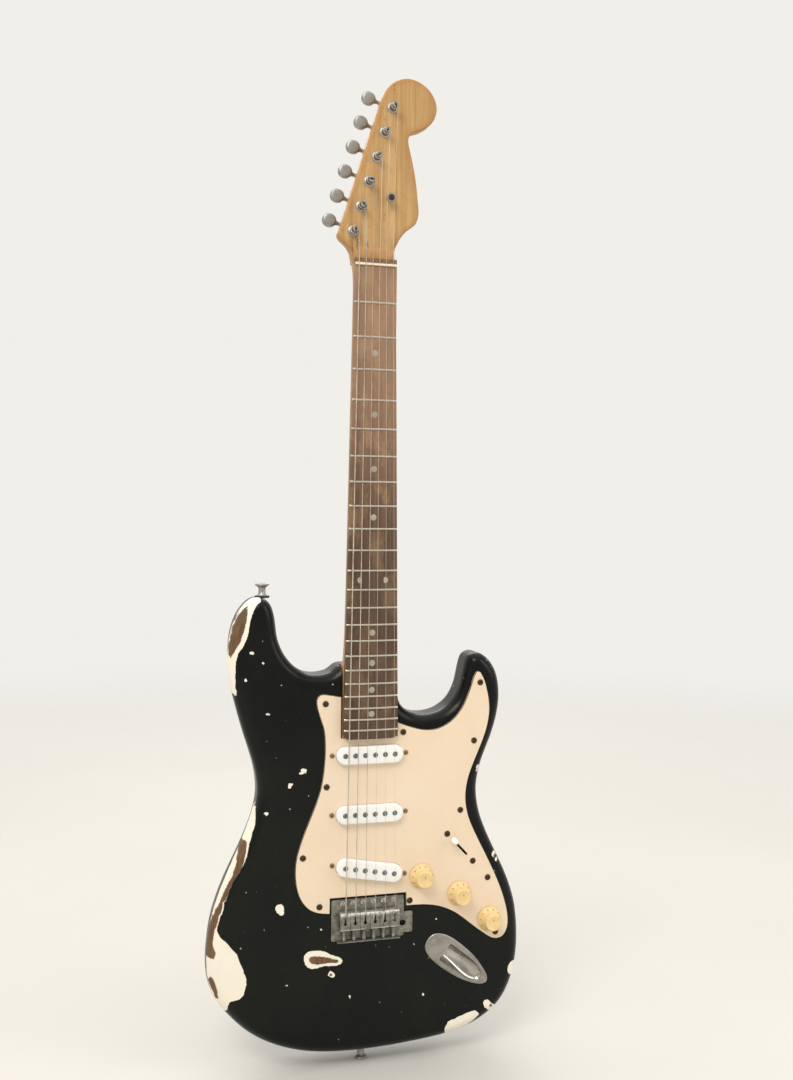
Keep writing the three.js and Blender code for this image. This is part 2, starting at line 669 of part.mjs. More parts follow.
function makeBridge() {
  const rearHeight = 7;
  const halfWidth = 38;
  const plate = slab(rectangle(-halfWidth, halfWidth + 0.6, PLATE_LOW_Z, PLATE_HIGH_Z),
    PLATE_FRONT, PLATE_BACK);
  const upstand = slab(rectangle(-33, 33, PLATE_LOW_Z, PLATE_LOW_Z + 1.8),
    PLATE_FRONT - rearHeight, PLATE_BACK);
  const lug = slab(rectangle(halfWidth - 2, 48, 136.5, 158.5, 2), PLATE_FRONT, PLATE_BACK);
  const armHole = slab(circle(3.2, 12, 37, 147), PLATE_FRONT - BLEED, PLATE_BACK + BLEED);
  addPiece('bridge_plate', carve([plate, upstand, lug], [armHole]), materials.agedNickel);

  const blockTop = PLATE_BACK + GAP;
  addPiece('tremolo_block', slab(rectangle(-33, 33, 149, 163), blockTop, 17), materials.steel);

  const saddleHalfWidth = 5;
  const sheet = 1.5;
  const saddleTop = STRING_AT_BRIDGE + 0.9;
  const foot = PLATE_FRONT - 0.5;
  const profile = points(
    [foot, SADDLE_FRONT_Z], [foot, SADDLE_FRONT_Z - sheet], [saddleTop + sheet, SADDLE_FRONT_Z - sheet],
    [saddleTop + sheet, SADDLE_BACK_Z + sheet], [foot, SADDLE_BACK_Z + sheet], [foot, SADDLE_BACK_Z],
    [saddleTop, SADDLE_BACK_Z], [saddleTop, SADDLE_FRONT_Z - 0.8], [saddleTop + 0.8, SADDLE_FRONT_Z],
  );
  for (let i = 0; i < STRING_COUNT; i += 1) {
    const x = stringOffset(i) * BRIDGE_STRING_PITCH;
    const blank = crossBar(profile, x - saddleHalfWidth, x + saddleHalfWidth);
    const window = slab(rectangle(x - 1.5, x + 1.5, 151.5, STRING_BEND_Z + 0.2),
      saddleTop - BLEED, saddleTop + BLEED);
    addPiece(`saddle_${STRING_COUNT - i}`, carve([blank], [window]), materials.agedNickel);
  }
}

function makeSpringsAndClaw() {
  const springY = 13;
  const springRadius = 3.6;
  const clawLow = 249;
  const claw = crossBar(points([9, clawLow], [20, clawLow], [20, clawLow + 2], [9, clawLow + 2]), -27, 27);
  const screws = [-17, 17].map((x) => rod(
    new THREE.Vector3(x, springY, clawLow - 3), new THREE.Vector3(x, springY, SPRING_ROUTE.high - GAP), 2, 8,
  ));
  addPiece('spring_claw', carve([claw, ...screws]), materials.steel);
  [-24, 0, 24].forEach((x, i) => {
    const low = new THREE.Vector3(x, springY, 163 + GAP);
    const high = new THREE.Vector3(x, springY, clawLow - GAP);
    addPiece(`tremolo_spring_${i + 1}`, rod(low, high, springRadius, 10), materials.steel);
  });
}

function makeTuners() {
  for (let i = 0; i < STRING_COUNT; i += 1) {
    const number = STRING_COUNT - i;
    const centre = postCentre(i);
    const postBase = HEAD_BACK + 0.9;
    const post = spun([
      [0, 0], [3.1, 0], [3.1, 22.2], [2.5, 24], [3.1, 25.6], [3.1, 27.2], [0, 27.2],
    ], 12, inFace(centre, postBase), TOWARD_PLAYER);
    addPiece(`tuner_post_${number}`, post, materials.nickel);

    const shaftAxis = centre.clone().addScaledVector(rowUp, TUNER_SHAFT_OFFSET);
    const along = (distance) => inFace(shaftAxis.clone().addScaledVector(rowOut, distance), TUNER_SHAFT_Y);
    const angle = Math.atan2(rowOut.y, rowOut.x);
    const housingBack = HEAD_BACK + GAP + 10.2;
    const housingMiddle = centre.clone().addScaledVector(rowUp, 3.6);
    const housingOutline = turned(rectangle(-8.4, 8.4, -11.6, 11.6, 3), angle, housingMiddle.x, housingMiddle.y);
    const housing = slab(housingOutline, HEAD_BACK + GAP, housingBack, { rounding: 1.2, roundingSteps: 1 });
    const shaftWay = rod(along(-5), along(14), 2.1 + GAP, 10);
    const postWay = slab(circle(3.1 + GAP, 12, centre.x, centre.y), HEAD_BACK - BLEED, postBase + GAP);
    addPiece(`tuner_housing_${number}`, carve([housing], [shaftWay, postWay]), materials.nickel);

    const shaft = rod(along(-4.6), along(TUNER_BUTTON_REACH - 4), 2.1, 10);
    const button = slab(stadium(7.4, 6.9, 6), -3.8, 3.8, { rounding: 1.8, roundingSteps: 1 });
    button.rotateY(-angle);
    button.translate(...along(TUNER_BUTTON_REACH).toArray());
    addPiece(`tuner_button_${number}`, carve([shaft, button]), materials.nickel);
  }
}

function makeStringTree() {
  const tree = spun([
    [0, 0], [2, 0], [2, 5.4], [1.6, 6.2], [4.9, 7], [4.9, 8.2], [3.6, 9], [0, 9],
  ], 14, new THREE.Vector3(STRING_TREE.x, HEAD_FRONT - GAP, STRING_TREE.z), TOWARD_PLAYER);
  addPiece('string_tree', tree, materials.nickel);
}

function makeStrings() {
  for (let i = 0; i < STRING_COUNT; i += 1) {
    const number = STRING_COUNT - i;
    const radius = STRING_RADII[i];
    const nutX = stringOffset(i) * NUT_STRING_PITCH;
    const bridgeX = stringOffset(i) * BRIDGE_STRING_PITCH;
    const post = postCentre(i);
    const postEdgeX = post.x + 3.1 + GAP + radius;
    const underTree = number <= 2;
    const treeShare = (STRING_TREE.z - NUT_Z) / (post.y - NUT_Z);
    const treeX = nutX + (postEdgeX - nutX) * treeShare;
    const path = [
      new THREE.Vector3(postEdgeX, HEAD_BACK + 0.9 - 24, post.y),
      ...(underTree ? [new THREE.Vector3(treeX, STRING_TREE.stringY, STRING_TREE.z)] : []),
      new THREE.Vector3(nutX, STRING_AT_NUT, NUT_Z + 1.5),
      new THREE.Vector3(bridgeX, STRING_AT_BRIDGE, STRING_BEND_Z),
      new THREE.Vector3(bridgeX, STRING_AT_BRIDGE + 3.6, STRING_BEND_Z - 3.8),
      new THREE.Vector3(bridgeX, PLATE_FRONT - GAP, STRING_BEND_Z - 6.2),
    ];
    addPiece(`string_${number}`, wire(path, radius, 6), materials.steel);
  }
}

makeBody();
makeNeck();
makeFingerboardAndNut();
PICKUPS.forEach(makePickup);
makeGuard();
makeControls();
makeJack();
makeStrapButtons();
makeBackPlates();
makeBridge();
makeSpringsAndClaw();
makeTuners();
makeStringTree();
makeStrings();

export default guitar;
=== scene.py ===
import math

import bmesh
import bpy
import numpy as np
from mathutils import Matrix, Vector
from mathutils.geometry import delaunay_2d_cdt


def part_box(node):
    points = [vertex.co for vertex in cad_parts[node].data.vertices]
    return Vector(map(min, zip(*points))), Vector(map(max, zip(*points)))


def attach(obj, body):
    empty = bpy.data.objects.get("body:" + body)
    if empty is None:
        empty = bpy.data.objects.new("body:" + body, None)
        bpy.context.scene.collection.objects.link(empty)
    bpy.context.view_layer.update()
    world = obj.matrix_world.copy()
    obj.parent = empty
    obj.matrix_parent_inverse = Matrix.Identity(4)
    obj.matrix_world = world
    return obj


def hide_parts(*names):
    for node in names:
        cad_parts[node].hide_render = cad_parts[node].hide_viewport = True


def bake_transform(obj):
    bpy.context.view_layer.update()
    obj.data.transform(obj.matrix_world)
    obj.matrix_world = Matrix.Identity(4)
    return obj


# A worn black electric guitar, with its fine pieces built round the CAD frame.
# Shapes are worked out in millimetres: x across, y into the guitar's back, z up the neck.

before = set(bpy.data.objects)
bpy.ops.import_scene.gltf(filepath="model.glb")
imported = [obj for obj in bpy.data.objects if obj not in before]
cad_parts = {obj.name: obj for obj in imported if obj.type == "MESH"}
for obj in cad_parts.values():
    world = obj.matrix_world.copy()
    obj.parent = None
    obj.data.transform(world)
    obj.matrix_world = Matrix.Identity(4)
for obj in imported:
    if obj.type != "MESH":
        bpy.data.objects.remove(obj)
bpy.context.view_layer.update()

MM = 0.001
STRING_COUNT = 6
STRINGS = range(1, STRING_COUNT + 1)

# ---------- camera ----------

CAMERA_PLACE = (-0.3035, -1.16836, 0.57641)
CAMERA_FORWARD = (0.27697, 0.96042, -0.02968)
CAMERA_UP = (-0.00208, 0.03149, 0.9995)
CAMERA_LENS = 39.02
CAMERA_SENSOR = 36


def make_camera():
    data = bpy.data.cameras.new("camera")
    data.sensor_width = CAMERA_SENSOR
    data.lens = CAMERA_LENS
    forward = Vector(CAMERA_FORWARD).normalized()
    right = forward.cross(Vector(CAMERA_UP)).normalized()
    up = right.cross(forward)
    camera = bpy.data.objects.new("camera", data)
    turn = Matrix((right, up, -forward)).transposed().to_4x4()
    camera.matrix_world = Matrix.Translation(CAMERA_PLACE) @ turn
    bpy.context.scene.collection.objects.link(camera)
    bpy.context.scene.camera = camera


make_camera()

# ---------- places taken from the frame ----------


def box_mm(node):
    low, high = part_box(node)
    return np.array(low) / MM, np.array(high) / MM


def middle(node):
    low, high = box_mm(node)
    return (low + high) / 2


BODY_LOW, BODY_HIGH = box_mm("body")
FACE = BODY_LOW[1]
BACK = BODY_HIGH[1]
EDGE_RADIUS = 12.7
OVERCUT = 6                            # how far a cutter stands out of the body that it cuts
BOARD_LOW, BOARD_HIGH = box_mm("fingerboard")
BOARD_TOP = BOARD_LOW[1]
BOARD_BACK = BOARD_HIGH[1]
BOARD_CAMBER = 1.6
NUT_Z = box_mm("nut")[0][2] - 0.3
SCALE_LENGTH = 647.7
FRETS = 22
NUT_HALF_WIDTH = 21
WIDE_HALF_WIDTH = 28.25
HEAD_FACE = FACE
HEAD_BACK = HEAD_FACE + 14.5
GUARD_FRONT, GUARD_BACK = box_mm("pickguard")[0][1], box_mm("pickguard")[1][1]
PLATE_FRONT = GUARD_BACK - 1.85
STRING_AT_NUT = -33.1
STRING_AT_BRIDGE = -36.2
STRING_RADII = [0.58, 0.45, 0.33, 0.22, 0.17, 0.13]   # from the low sixth string to the first
PLAIN_STRINGS = 3                      # the highest three; the others are wound
NUT_PITCH = 7
BRIDGE_PITCH = 10.35
POST_RADIUS = 3.1
STRING_ON_POST = 3.2                   # how far below a post's tip its string leaves it

ROW_UP = middle("tuner_post_1") - middle("tuner_post_6")
ROW_UP = ROW_UP / np.linalg.norm(ROW_UP)
ROW_OUT = np.array([-ROW_UP[2], 0, ROW_UP[0]])


def offset_of(string):
    """How many string spacings a string lies from the middle, with the low sixth string at the left."""
    return (STRING_COUNT - string) - (STRING_COUNT - 1) / 2


def string_radius(string):
    return STRING_RADII[STRING_COUNT - string]


def string_finish(string):
    return "wound_string" if string > PLAIN_STRINGS else "plain_string"


def nut_x(string):
    return offset_of(string) * NUT_PITCH


def bridge_x(string):
    return offset_of(string) * BRIDGE_PITCH


def fret_z(fret):
    return NUT_Z - SCALE_LENGTH * (1 - 2 ** (-fret / 12))


def board_half_width(z):
    slope = (WIDE_HALF_WIDTH - NUT_HALF_WIDTH) / (NUT_Z - fret_z(FRETS))
    return NUT_HALF_WIDTH + slope * (NUT_Z - z)


# ---------- plane outlines, as arrays of (x, z) ----------


def area_of(loop):
    x, z = loop[:, 0], loop[:, 1]
    return 0.5 * np.sum(x * np.roll(z, -1) - np.roll(x, -1) * z)


def wound(loop, anticlockwise=True):
    return loop if (area_of(loop) > 0) == anticlockwise else loop[::-1]


def without_straight_points(loop):
    least_turn = math.sin(math.radians(0.15))
    before = loop - np.roll(loop, 1, axis=0)
    after = np.roll(loop, -1, axis=0) - loop
    turn = before[:, 0] * after[:, 1] - before[:, 1] * after[:, 0]
    lengths = np.linalg.norm(before, axis=1) * np.linalg.norm(after, axis=1)
    return loop[np.abs(turn) > least_turn * lengths + 1e-9]


def section(node, level):
    """The outlines where a CAD node crosses the plane y = level, largest first."""
    mesh = bmesh.new()
    mesh.from_mesh(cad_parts[node].data)
    bmesh.ops.remove_doubles(mesh, verts=mesh.verts, dist=1e-6)
    everything = mesh.verts[:] + mesh.edges[:] + mesh.faces[:]
    cut = bmesh.ops.bisect_plane(
        mesh, geom=everything, plane_co=(0, level * MM, 0), plane_no=(0, 1, 0), dist=1e-7
    )["geom_cut"]
    mesh.verts.index_update()
    neighbours = {}
    for edge in cut:
        if isinstance(edge, bmesh.types.BMEdge):
            a, b = edge.verts
            neighbours.setdefault(a.index, []).append(b.index)
            neighbours.setdefault(b.index, []).append(a.index)
    mesh.verts.ensure_lookup_table()
    loops = []
    unused = set(neighbours)
    while unused:
        walk = [min(unused)]
        unused.discard(walk[0])
        while True:
            ahead = [i for i in neighbours[walk[-1]] if i in unused]
            if not ahead:
                break
            walk.append(ahead[0])
            unused.discard(ahead[0])
        loops.append(np.array([(mesh.verts[i].co.x / MM, mesh.verts[i].co.z / MM) for i in walk]))
    mesh.free()
    loops = [without_straight_points(loop) for loop in loops if len(loop) > 2]
    return sorted(loops, key=lambda loop: -abs(area_of(loop)))


def smooth(loop, spacing, corner_degrees=32):
    """A closed outline redrawn as a smooth line through its points, with its sharp corners kept."""
    chords = np.roll(loop, -1, axis=0) - loop
    lengths = np.linalg.norm(chords, axis=1)
    ahead = chords / lengths[:, None]
    behind = np.roll(ahead, 1, axis=0)
    before = np.roll(lengths, 1)
    turn = np.degrees(np.arccos(np.clip(np.sum(ahead * behind, axis=1), -1, 1)))
    tangent = (behind * lengths[:, None] + ahead * before[:, None]) / (lengths + before)[:, None]
    # where a long straight stretch meets a curve, the curve starts along the straight
    tangent = np.where((lengths > 2.5 * before)[:, None], ahead, tangent)
    tangent = np.where((before > 2.5 * lengths)[:, None], behind, tangent)
    is_corner = turn > corner_degrees
    drawn = []
    for i in range(len(loop)):
        j = (i + 1) % len(loop)
        start_tangent = ahead[i] if is_corner[i] else tangent[i]
        end_tangent = ahead[i] if is_corner[j] else tangent[j]
        steps = max(1, round(lengths[i] / spacing))
        for t in np.arange(steps) / steps:
            drawn.append(
                (2 * t**3 - 3 * t**2 + 1) * loop[i]
                + (t**3 - 2 * t**2 + t) * lengths[i] * start_tangent
                + (3 * t**2 - 2 * t**3) * loop[j]
                + (t**3 - t**2) * lengths[i] * end_tangent
            )
    return np.array(drawn)


def circle(radius, sides, x=0, z=0):
    angle = np.arange(sides) * 2 * math.pi / sides
    return np.c_[x + radius * np.cos(angle), z + radius * np.sin(angle)]


def stadium(half_length, radius, end_steps):
    angle = np.linspace(-math.pi / 2, math.pi / 2, end_steps + 1)
    right = np.c_[half_length - radius + radius * np.cos(angle), radius * np.sin(angle)]
    return np.r_[right, -right]


def rectangle(x0, x1, z0, z1, corner=0.0, corner_steps=6):
    if corner == 0:
        return np.array([(x0, z0), (x1, z0), (x1, z1), (x0, z1)], float)
    ring = []
    centres = [(x1 - corner, z0 + corner), (x1 - corner, z1 - corner),
               (x0 + corner, z1 - corner), (x0 + corner, z0 + corner)]
    for quarter, (x, z) in enumerate(centres):
        for i in range(corner_steps + 1):
            angle = math.pi / 2 * (quarter - 1 + i / corner_steps)
            ring.append((x + corner * math.cos(angle), z + corner * math.sin(angle)))
    return np.array(ring)


def turned(outline, angle, x, z):
    c, s = math.cos(angle), math.sin(angle)
    return outline @ np.array([(c, s), (-s, c)]) + (x, z)


def inset(loop, distance):
    """The outline moved to its left: into the material for an outer ring and for a clockwise hole."""
    ahead = np.roll(loop, -1, axis=0) - loop
    ahead = ahead / np.maximum(np.linalg.norm(ahead, axis=1), 1e-9)[:, None]
    behind = np.roll(ahead, 1, axis=0)
    left = np.c_[-(ahead + behind)[:, 1], (ahead + behind)[:, 0]]
    left = left / np.maximum(np.linalg.norm(left, axis=1), 1e-9)[:, None]
    half_turn = np.clip(np.sum(ahead * behind, axis=1), -1, 1)
    mitre = 1 / np.maximum(np.sqrt((1 + half_turn) / 2), 0.5)
    return loop + left * (distance * mitre)[:, None]


def inside(points, loop):
    x, z = points[:, 0], points[:, 1]
    crossings = np.zeros(len(points), int)
    for (ax, az), (bx, bz) in zip(loop, np.roll(loop, -1, axis=0)):
        if az != bz:
            spans = (az > z) != (bz > z)
            crossings += spans & (x < (bx - ax) * (z - az) / (bz - az) + ax)
    return crossings % 2 == 1


def distance_to(points, loop):
    """Distance from each point to a closed outline."""
    nearest = np.full(len(points), 1e9)
    for a, b in zip(loop, np.roll(loop, -1, axis=0)):
        along = b - a
        t = np.clip((points - a) @ along / max(along @ along, 1e-12), 0, 1)
        gap = points - a - t[:, None] * along
        nearest = np.minimum(nearest, np.einsum("ij,ij->i", gap, gap))
    return np.sqrt(nearest)


def triangulate(loops, extra=()):
    """Triangles inside the first loop and outside the others. Points are numbered loop by loop."""
    points = np.concatenate([*loops, *([extra] if len(extra) else [])])
    edges = []
    start = 0
    for loop in loops:
        count = len(loop)
        edges += [(start + i, start + (i + 1) % count) for i in range(count)]
        start += count
    _, _, made_faces, origins, *_ = delaunay_2d_cdt([Vector(p) for p in points], edges, [], 1, 1e-7)
    where = [origin[0] if origin else -1 for origin in origins]
    triangles = np.array([[where[i] for i in face] for face in made_faces])
    triangles = triangles[(triangles >= 0).all(axis=1)]
    centres = points[triangles].mean(axis=1)
    keep = inside(centres, loops[0])
    for hole in loops[1:]:
        keep &= ~inside(centres, hole)
    return triangles[keep]


# ---------- solids, as (points, faces) ----------


def joined(parts):
    points, faces, start = [], [], 0
    for part_points, part_faces in parts:
        points.append(np.asarray(part_points, float))
        faces += [[i + start for i in face] for face in part_faces]
        start += len(part_points)
    return np.concatenate(points), faces


def slab(loops, levels, grid=()):
    """A plate in the plane of the face. Each level is (y, inset), from the front to the back.

    A grid of (x, z) gives the front and the back more points, for a colour that follows the mesh.
    """
    loops = [wound(loop, i == 0) for i, loop in enumerate(loops)]
    points, faces = [], []
    per_level = sum(len(loop) for loop in loops)
    for y, depth in levels:
        for loop in loops:
            ring = inset(loop, depth)
            points.append(np.c_[ring[:, 0], np.full(len(ring), y), ring[:, 1]])
    for level in range(len(levels) - 1):
        start = level * per_level
        for loop in loops:
            count = len(loop)
            for i in range(count):
                a, b = start + i, start + (i + 1) % count
                faces.append([b, a, a + per_level, b + per_level])
            start += count
    for level, flip in ((0, False), (len(levels) - 1, True)):
        y, depth = levels[level]
        start = sum(len(group) for group in points)
        if len(grid):
            points.append(np.c_[grid[:, 0], np.full(len(grid), y), grid[:, 1]])
        cap = triangulate([inset(loop, depth) for loop in loops], grid)
        cap = np.where(cap < per_level, cap + level * per_level, cap - per_level + start)
        faces += [list(triangle[::-1] if flip else triangle) for triangle in cap]
    return np.concatenate(points), faces


def prism(outline, front, back):
    """A plate of one outline with plain edges."""
    return slab([outline], [(front, 0), (back, 0)])


def rounded(front, back, front_radius, back_radius, steps):
    """Levels for slab() with quarter-round edges."""
    def edge(y, radius, inward):
        if radius == 0:
            return [(y, 0)]
        return [(y + inward * radius * (1 - math.sin(angle)), radius * (1 - math.cos(angle)))
                for angle in np.linspace(0, math.pi / 2, steps + 1)]

    return edge(front, front_radius, 1)[::-1] + edge(back, back_radius, -1)


def loft(rings, start=None, end=None, capped=True):
    """A skin over rings of equal length, with a fan at each end unless its two ends already meet."""
    rings = [np.asarray(ring, float) for ring in rings]
    count = len(rings[0])
    faces = []
    for r in range(len(rings) - 1):
        for i in range(count):
            a, b = r * count + i, r * count + (i + 1) % count
            faces.append([a, b, b + count, a + count])
    if not capped:
        return np.concatenate(rings), faces
    points = np.concatenate([*rings, [rings[0].mean(axis=0) if start is None else start],
                             [rings[-1].mean(axis=0) if end is None else end]])
    first, last = len(points) - 2, len(points) - 1
    top = (len(rings) - 1) * count
    for i in range(count):
        j = (i + 1) % count
        faces.append([first, j, i])
        faces.append([last, top + i, top + j])
    return points, faces


def across(direction):
    """Two unit vectors square to a direction."""
    direction = np.asarray(direction, float) / np.linalg.norm(direction)
    helper = np.array([0, 0, 1.0]) if abs(direction[2]) < 0.9 else np.array([1.0, 0, 0])
    side = np.cross(helper, direction)
    side /= np.linalg.norm(side)
    return side, np.cross(direction, side)


def spun(profile, base, direction, sides, ripple=None):
    """A turned piece, from a profile of (radius, height) from its base. ripple(angle, height) scales
    the radius. A profile that ends where it starts makes a ring.
    """
    base = np.asarray(base, float)
    direction = np.asarray(direction, float) / np.linalg.norm(direction)
    side, other = across(direction)
    angle = np.arange(sides) * 2 * math.pi / sides
    round_the_axis = np.cos(angle)[:, None] * side + np.sin(angle)[:, None] * other
    rings = []
    for radius, height in profile:
        if radius > 0:
            scale = np.ones(sides) if ripple is None else ripple(angle, height)
            rings.append(base + direction * height + round_the_axis * (radius * scale)[:, None])
    return loft(rings, base + direction * profile[0][1], base + direction * profile[-1][1],
                capped=profile[0] != profile[-1])


def tube(path, radius, sides=12):
    """A round bar along a path of points, with its ring carried along without twisting."""
    path = np.asarray(path, float)
    tangent = np.gradient(path, axis=0)
    tangent /= np.linalg.norm(tangent, axis=1)[:, None]
    side, _ = across(tangent[0])
    angle = np.arange(sides) * 2 * math.pi / sides
    rings = []
    for point, along in zip(path, tangent):
        side = side - along * (side @ along)
        side /= np.linalg.norm(side)
        other = np.cross(along, side)
        rings.append(point + radius * (np.cos(angle)[:, None] * side + np.sin(angle)[:, None] * other))
    return loft(rings)


def cross_bar(profile, x0, x1):
    """A bar with one side profile, given as (y, z), all along x."""
    profile = np.asarray(profile, float)
    count = len(profile)
    points = np.concatenate([np.c_[np.full(count, x), profile] for x in (x0, x1)])
    faces = [[i, (i + 1) % count, (i + 1) % count + count, i + count] for i in range(count)]
    cap = triangulate([profile])
    faces += [list(triangle[::-1]) for triangle in cap] + [list(triangle + count) for triangle in cap]
    return points, faces


def helix(centre, axis, radius, pitch, turns, per_turn):
    axis = np.asarray(axis, float)
    side, other = across(axis)
    t = np.linspace(0, turns, int(turns * per_turn) + 1)
    angle = 2 * math.pi * t
    return (np.asarray(centre, float) + axis * (t * pitch)[:, None]
            + radius * (np.cos(angle)[:, None] * side + np.sin(angle)[:, None] * other))


def moved(part, offset=(0, 0, 0), turn=None):
    """A part turned about the origin, then moved."""
    points, faces = part
    points = np.asarray(points, float)
    if turn is not None:
        points = points @ np.array(turn).T
    return points + offset, faces


# ---------- pieces ----------

TOWARD_PLAYER = (0, -1, 0)
BEHIND = (0, 1, 0)
UP_THE_NECK = (0, 0, 1)
SMOOTH_ANGLE = 32


def mesh_from(name, part, smooth_angle=SMOOTH_ANGLE):
    points, faces = part
    mesh = bpy.data.meshes.new(name)
    mesh.from_pydata((np.asarray(points) * MM).tolist(), [], [list(map(int, face)) for face in faces])
    work = bmesh.new()
    work.from_mesh(mesh)
    bmesh.ops.remove_doubles(work, verts=work.verts, dist=2e-7)
    bmesh.ops.dissolve_degenerate(work, edges=work.edges, dist=1e-8)
    bmesh.ops.recalc_face_normals(work, faces=work.faces)
    work.to_mesh(mesh)
    work.free()
    finish_shading(mesh, smooth_angle)
    return mesh


def finish_shading(mesh, smooth_angle):
    mesh.polygons.foreach_set("use_smooth", [True] * len(mesh.polygons))
    mesh.set_sharp_from_angle(angle=math.radians(smooth_angle))
    mesh.update()


def loose_object(name, data):
    made = bpy.data.objects.new(name, data)
    bpy.context.scene.collection.objects.link(made)
    return made


def piece(name, part, finish, body="instrument", replaces=None, smooth_angle=SMOOTH_ANGLE):
    """A visible piece that rides on a body. One with no body is left loose, and its maker bakes its place
    into its mesh.
    """
    material, usual_slot = FINISHES[finish]
    mesh = part if isinstance(part, bpy.types.Mesh) else mesh_from(name, part, smooth_angle)
    mesh.name = name
    mesh.materials.clear()
    mesh.materials.append(material)
    made = loose_object(name, mesh)
    if body is not None:
        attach(made, body)
    if replaces:
        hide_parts(replaces)
    return made


def carved(solid, added=(), removed=(), smooth_angle=SMOOTH_ANGLE):
    """One mesh made of a solid with others joined to it and cut out of it."""
    base = loose_object("carving", mesh_from("carving", solid))
    tools = [("UNION", part) for part in added] + [("DIFFERENCE", part) for part in removed]
    helpers = []
    for operation, part in tools:
        helper = loose_object("tool", mesh_from("tool", part))
        step = base.modifiers.new("step", "BOOLEAN")
        step.operation = operation
        step.solver = "MANIFOLD"
        step.object = helper
        helpers.append(helper)
    evaluated = base.evaluated_get(bpy.context.evaluated_depsgraph_get())
    mesh = bpy.data.meshes.new_from_object(evaluated)
    for leftover in [base, *helpers]:
        old = leftover.data
        bpy.data.objects.remove(leftover)
        bpy.data.meshes.remove(old)
    finish_shading(mesh, smooth_angle)
    return mesh


def vertices_of(mesh):
    """A mesh's points in millimetres."""
    return np.array([v.co for v in mesh.vertices]) / MM


def write_field(mesh, name, values):
    """One number for each point of a mesh, for its material to read."""
    mesh.attributes.new(name, "FLOAT", "POINT").data.foreach_set("value", np.asarray(values, np.float32))


# ---------- materials ----------


class Shader:
    """A material's node tree, with short calls for the nodes that the finishes are made of."""

    def __init__(self, name):
        self.material = bpy.data.materials.new(name)
        self.material.use_nodes = True
        self.tree = self.material.node_tree
        self.surface = self.tree.nodes["Principled BSDF"]
        self.place = self.add("ShaderNodeTexCoord").outputs["Object"]

    def add(self, kind, settings=None, inputs=None):
        made = self.tree.nodes.new(kind)
        for key, value in (settings or {}).items():
            setattr(made, key, value)
        for key, value in (inputs or {}).items():
            self.plug(made.inputs[key], value)
        return made

    def plug(self, socket, value):
        if isinstance(value, bpy.types.NodeSocket):
            self.tree.links.new(value, socket)
        else:
            socket.default_value = value

    def stretched(self, scale):
        """Object coordinates times a scale in repeats per metre: one number, or one for each axis."""
        scale = scale if isinstance(scale, tuple) else (scale, scale, scale)
        return self.add("ShaderNodeMapping", None, {"Vector": self.place, "Scale": scale}).outputs["Vector"]

    def noise(self, scale, detail, roughness=0.55, distortion=0.0):
        return self.add("ShaderNodeTexNoise", None, {
            "Vector": self.stretched(scale), "Scale": 1.0, "Detail": detail, "Roughness": roughness,
            "Distortion": distortion}).outputs["Fac"]

    def cells(self, scale):
        return self.add("ShaderNodeTexVoronoi", None, {"Vector": self.stretched(scale), "Scale": 1.0})

    def attribute(self, name):
        return self.add("ShaderNodeAttribute", {"attribute_name": name}).outputs["Fac"]

    def coordinate(self, axis):
        """Place along one axis, numbered 0 to 2, in metres."""
        return self.add("ShaderNodeSeparateXYZ", None, {"Vector": self.place}).outputs[axis]

    def math(self, operation, a, b=0.0):
        made = self.add("ShaderNodeMath", {"operation": operation})
        self.plug(made.inputs[0], a)
        self.plug(made.inputs[1], b)
        return made.outputs[0]

    def plus(self, a, b):
        return self.math("ADD", a, b)

    def times(self, a, b):
        return self.math("MULTIPLY", a, b)

    def between(self, value, low, high, to_low=0.0, to_high=1.0):
        """A smooth step from one number to another as a value goes from low to high."""
        return self.add("ShaderNodeMapRange", {"interpolation_type": "SMOOTHSTEP"}, {
            "Value": value, "From Min": low, "From Max": high, "To Min": to_low, "To Max": to_high,
        }).outputs["Result"]

    def mix(self, factor, a, b):
        made = self.add("ShaderNodeMix", {"data_type": "RGBA"})
        self.plug(made.inputs[0], factor)
        for socket, colour in ((made.inputs[6], a), (made.inputs[7], b)):
            self.plug(socket, colour if isinstance(colour, bpy.types.NodeSocket) else (*colour, 1.0))
        return made.outputs[2]

    def tinted(self, colour, tint, field, low, high, amount=1.0):
        """A colour that takes on up to an amount of another as a field goes from low to high."""
        return self.mix(self.between(field, low, high, 0.0, amount), colour, tint)

    def ramp(self, value, stops):
        """A colour that follows a value through stops of (position, colour)."""
        made = self.add("ShaderNodeValToRGB", None, {"Fac": value})
        elements = made.color_ramp.elements
        while len(elements) < len(stops):
            elements.new(0.5)
        for element, (position, colour) in zip(elements, stops):
            element.position = position
            element.color = (*colour, 1.0)
        return made.outputs["Color"]

    def bump(self, height, distance, strength):
        """Relief of a depth in metres, added to any that the surface has already."""
        made = self.add("ShaderNodeBump", None, {
            "Height": height, "Distance": distance, "Strength": strength})
        below = self.surface.inputs["Normal"]
        if below.links:
            self.plug(made.inputs["Normal"], below.links[0].from_socket)
        self.plug(below, made.outputs["Normal"])

    def set(self, **values):
        for key, value in values.items():
            socket = self.surface.inputs[key.replace("_", " ").title().replace("Ior", "IOR")]
            if isinstance(value, tuple):
                value = (*value, 1.0)
            self.plug(socket, value)
        return self.material


BLACK = (0.0032, 0.0042, 0.0036)
PRIMER = (0.92, 0.85, 0.71)
BARE_WOOD = (0.165, 0.085, 0.042)


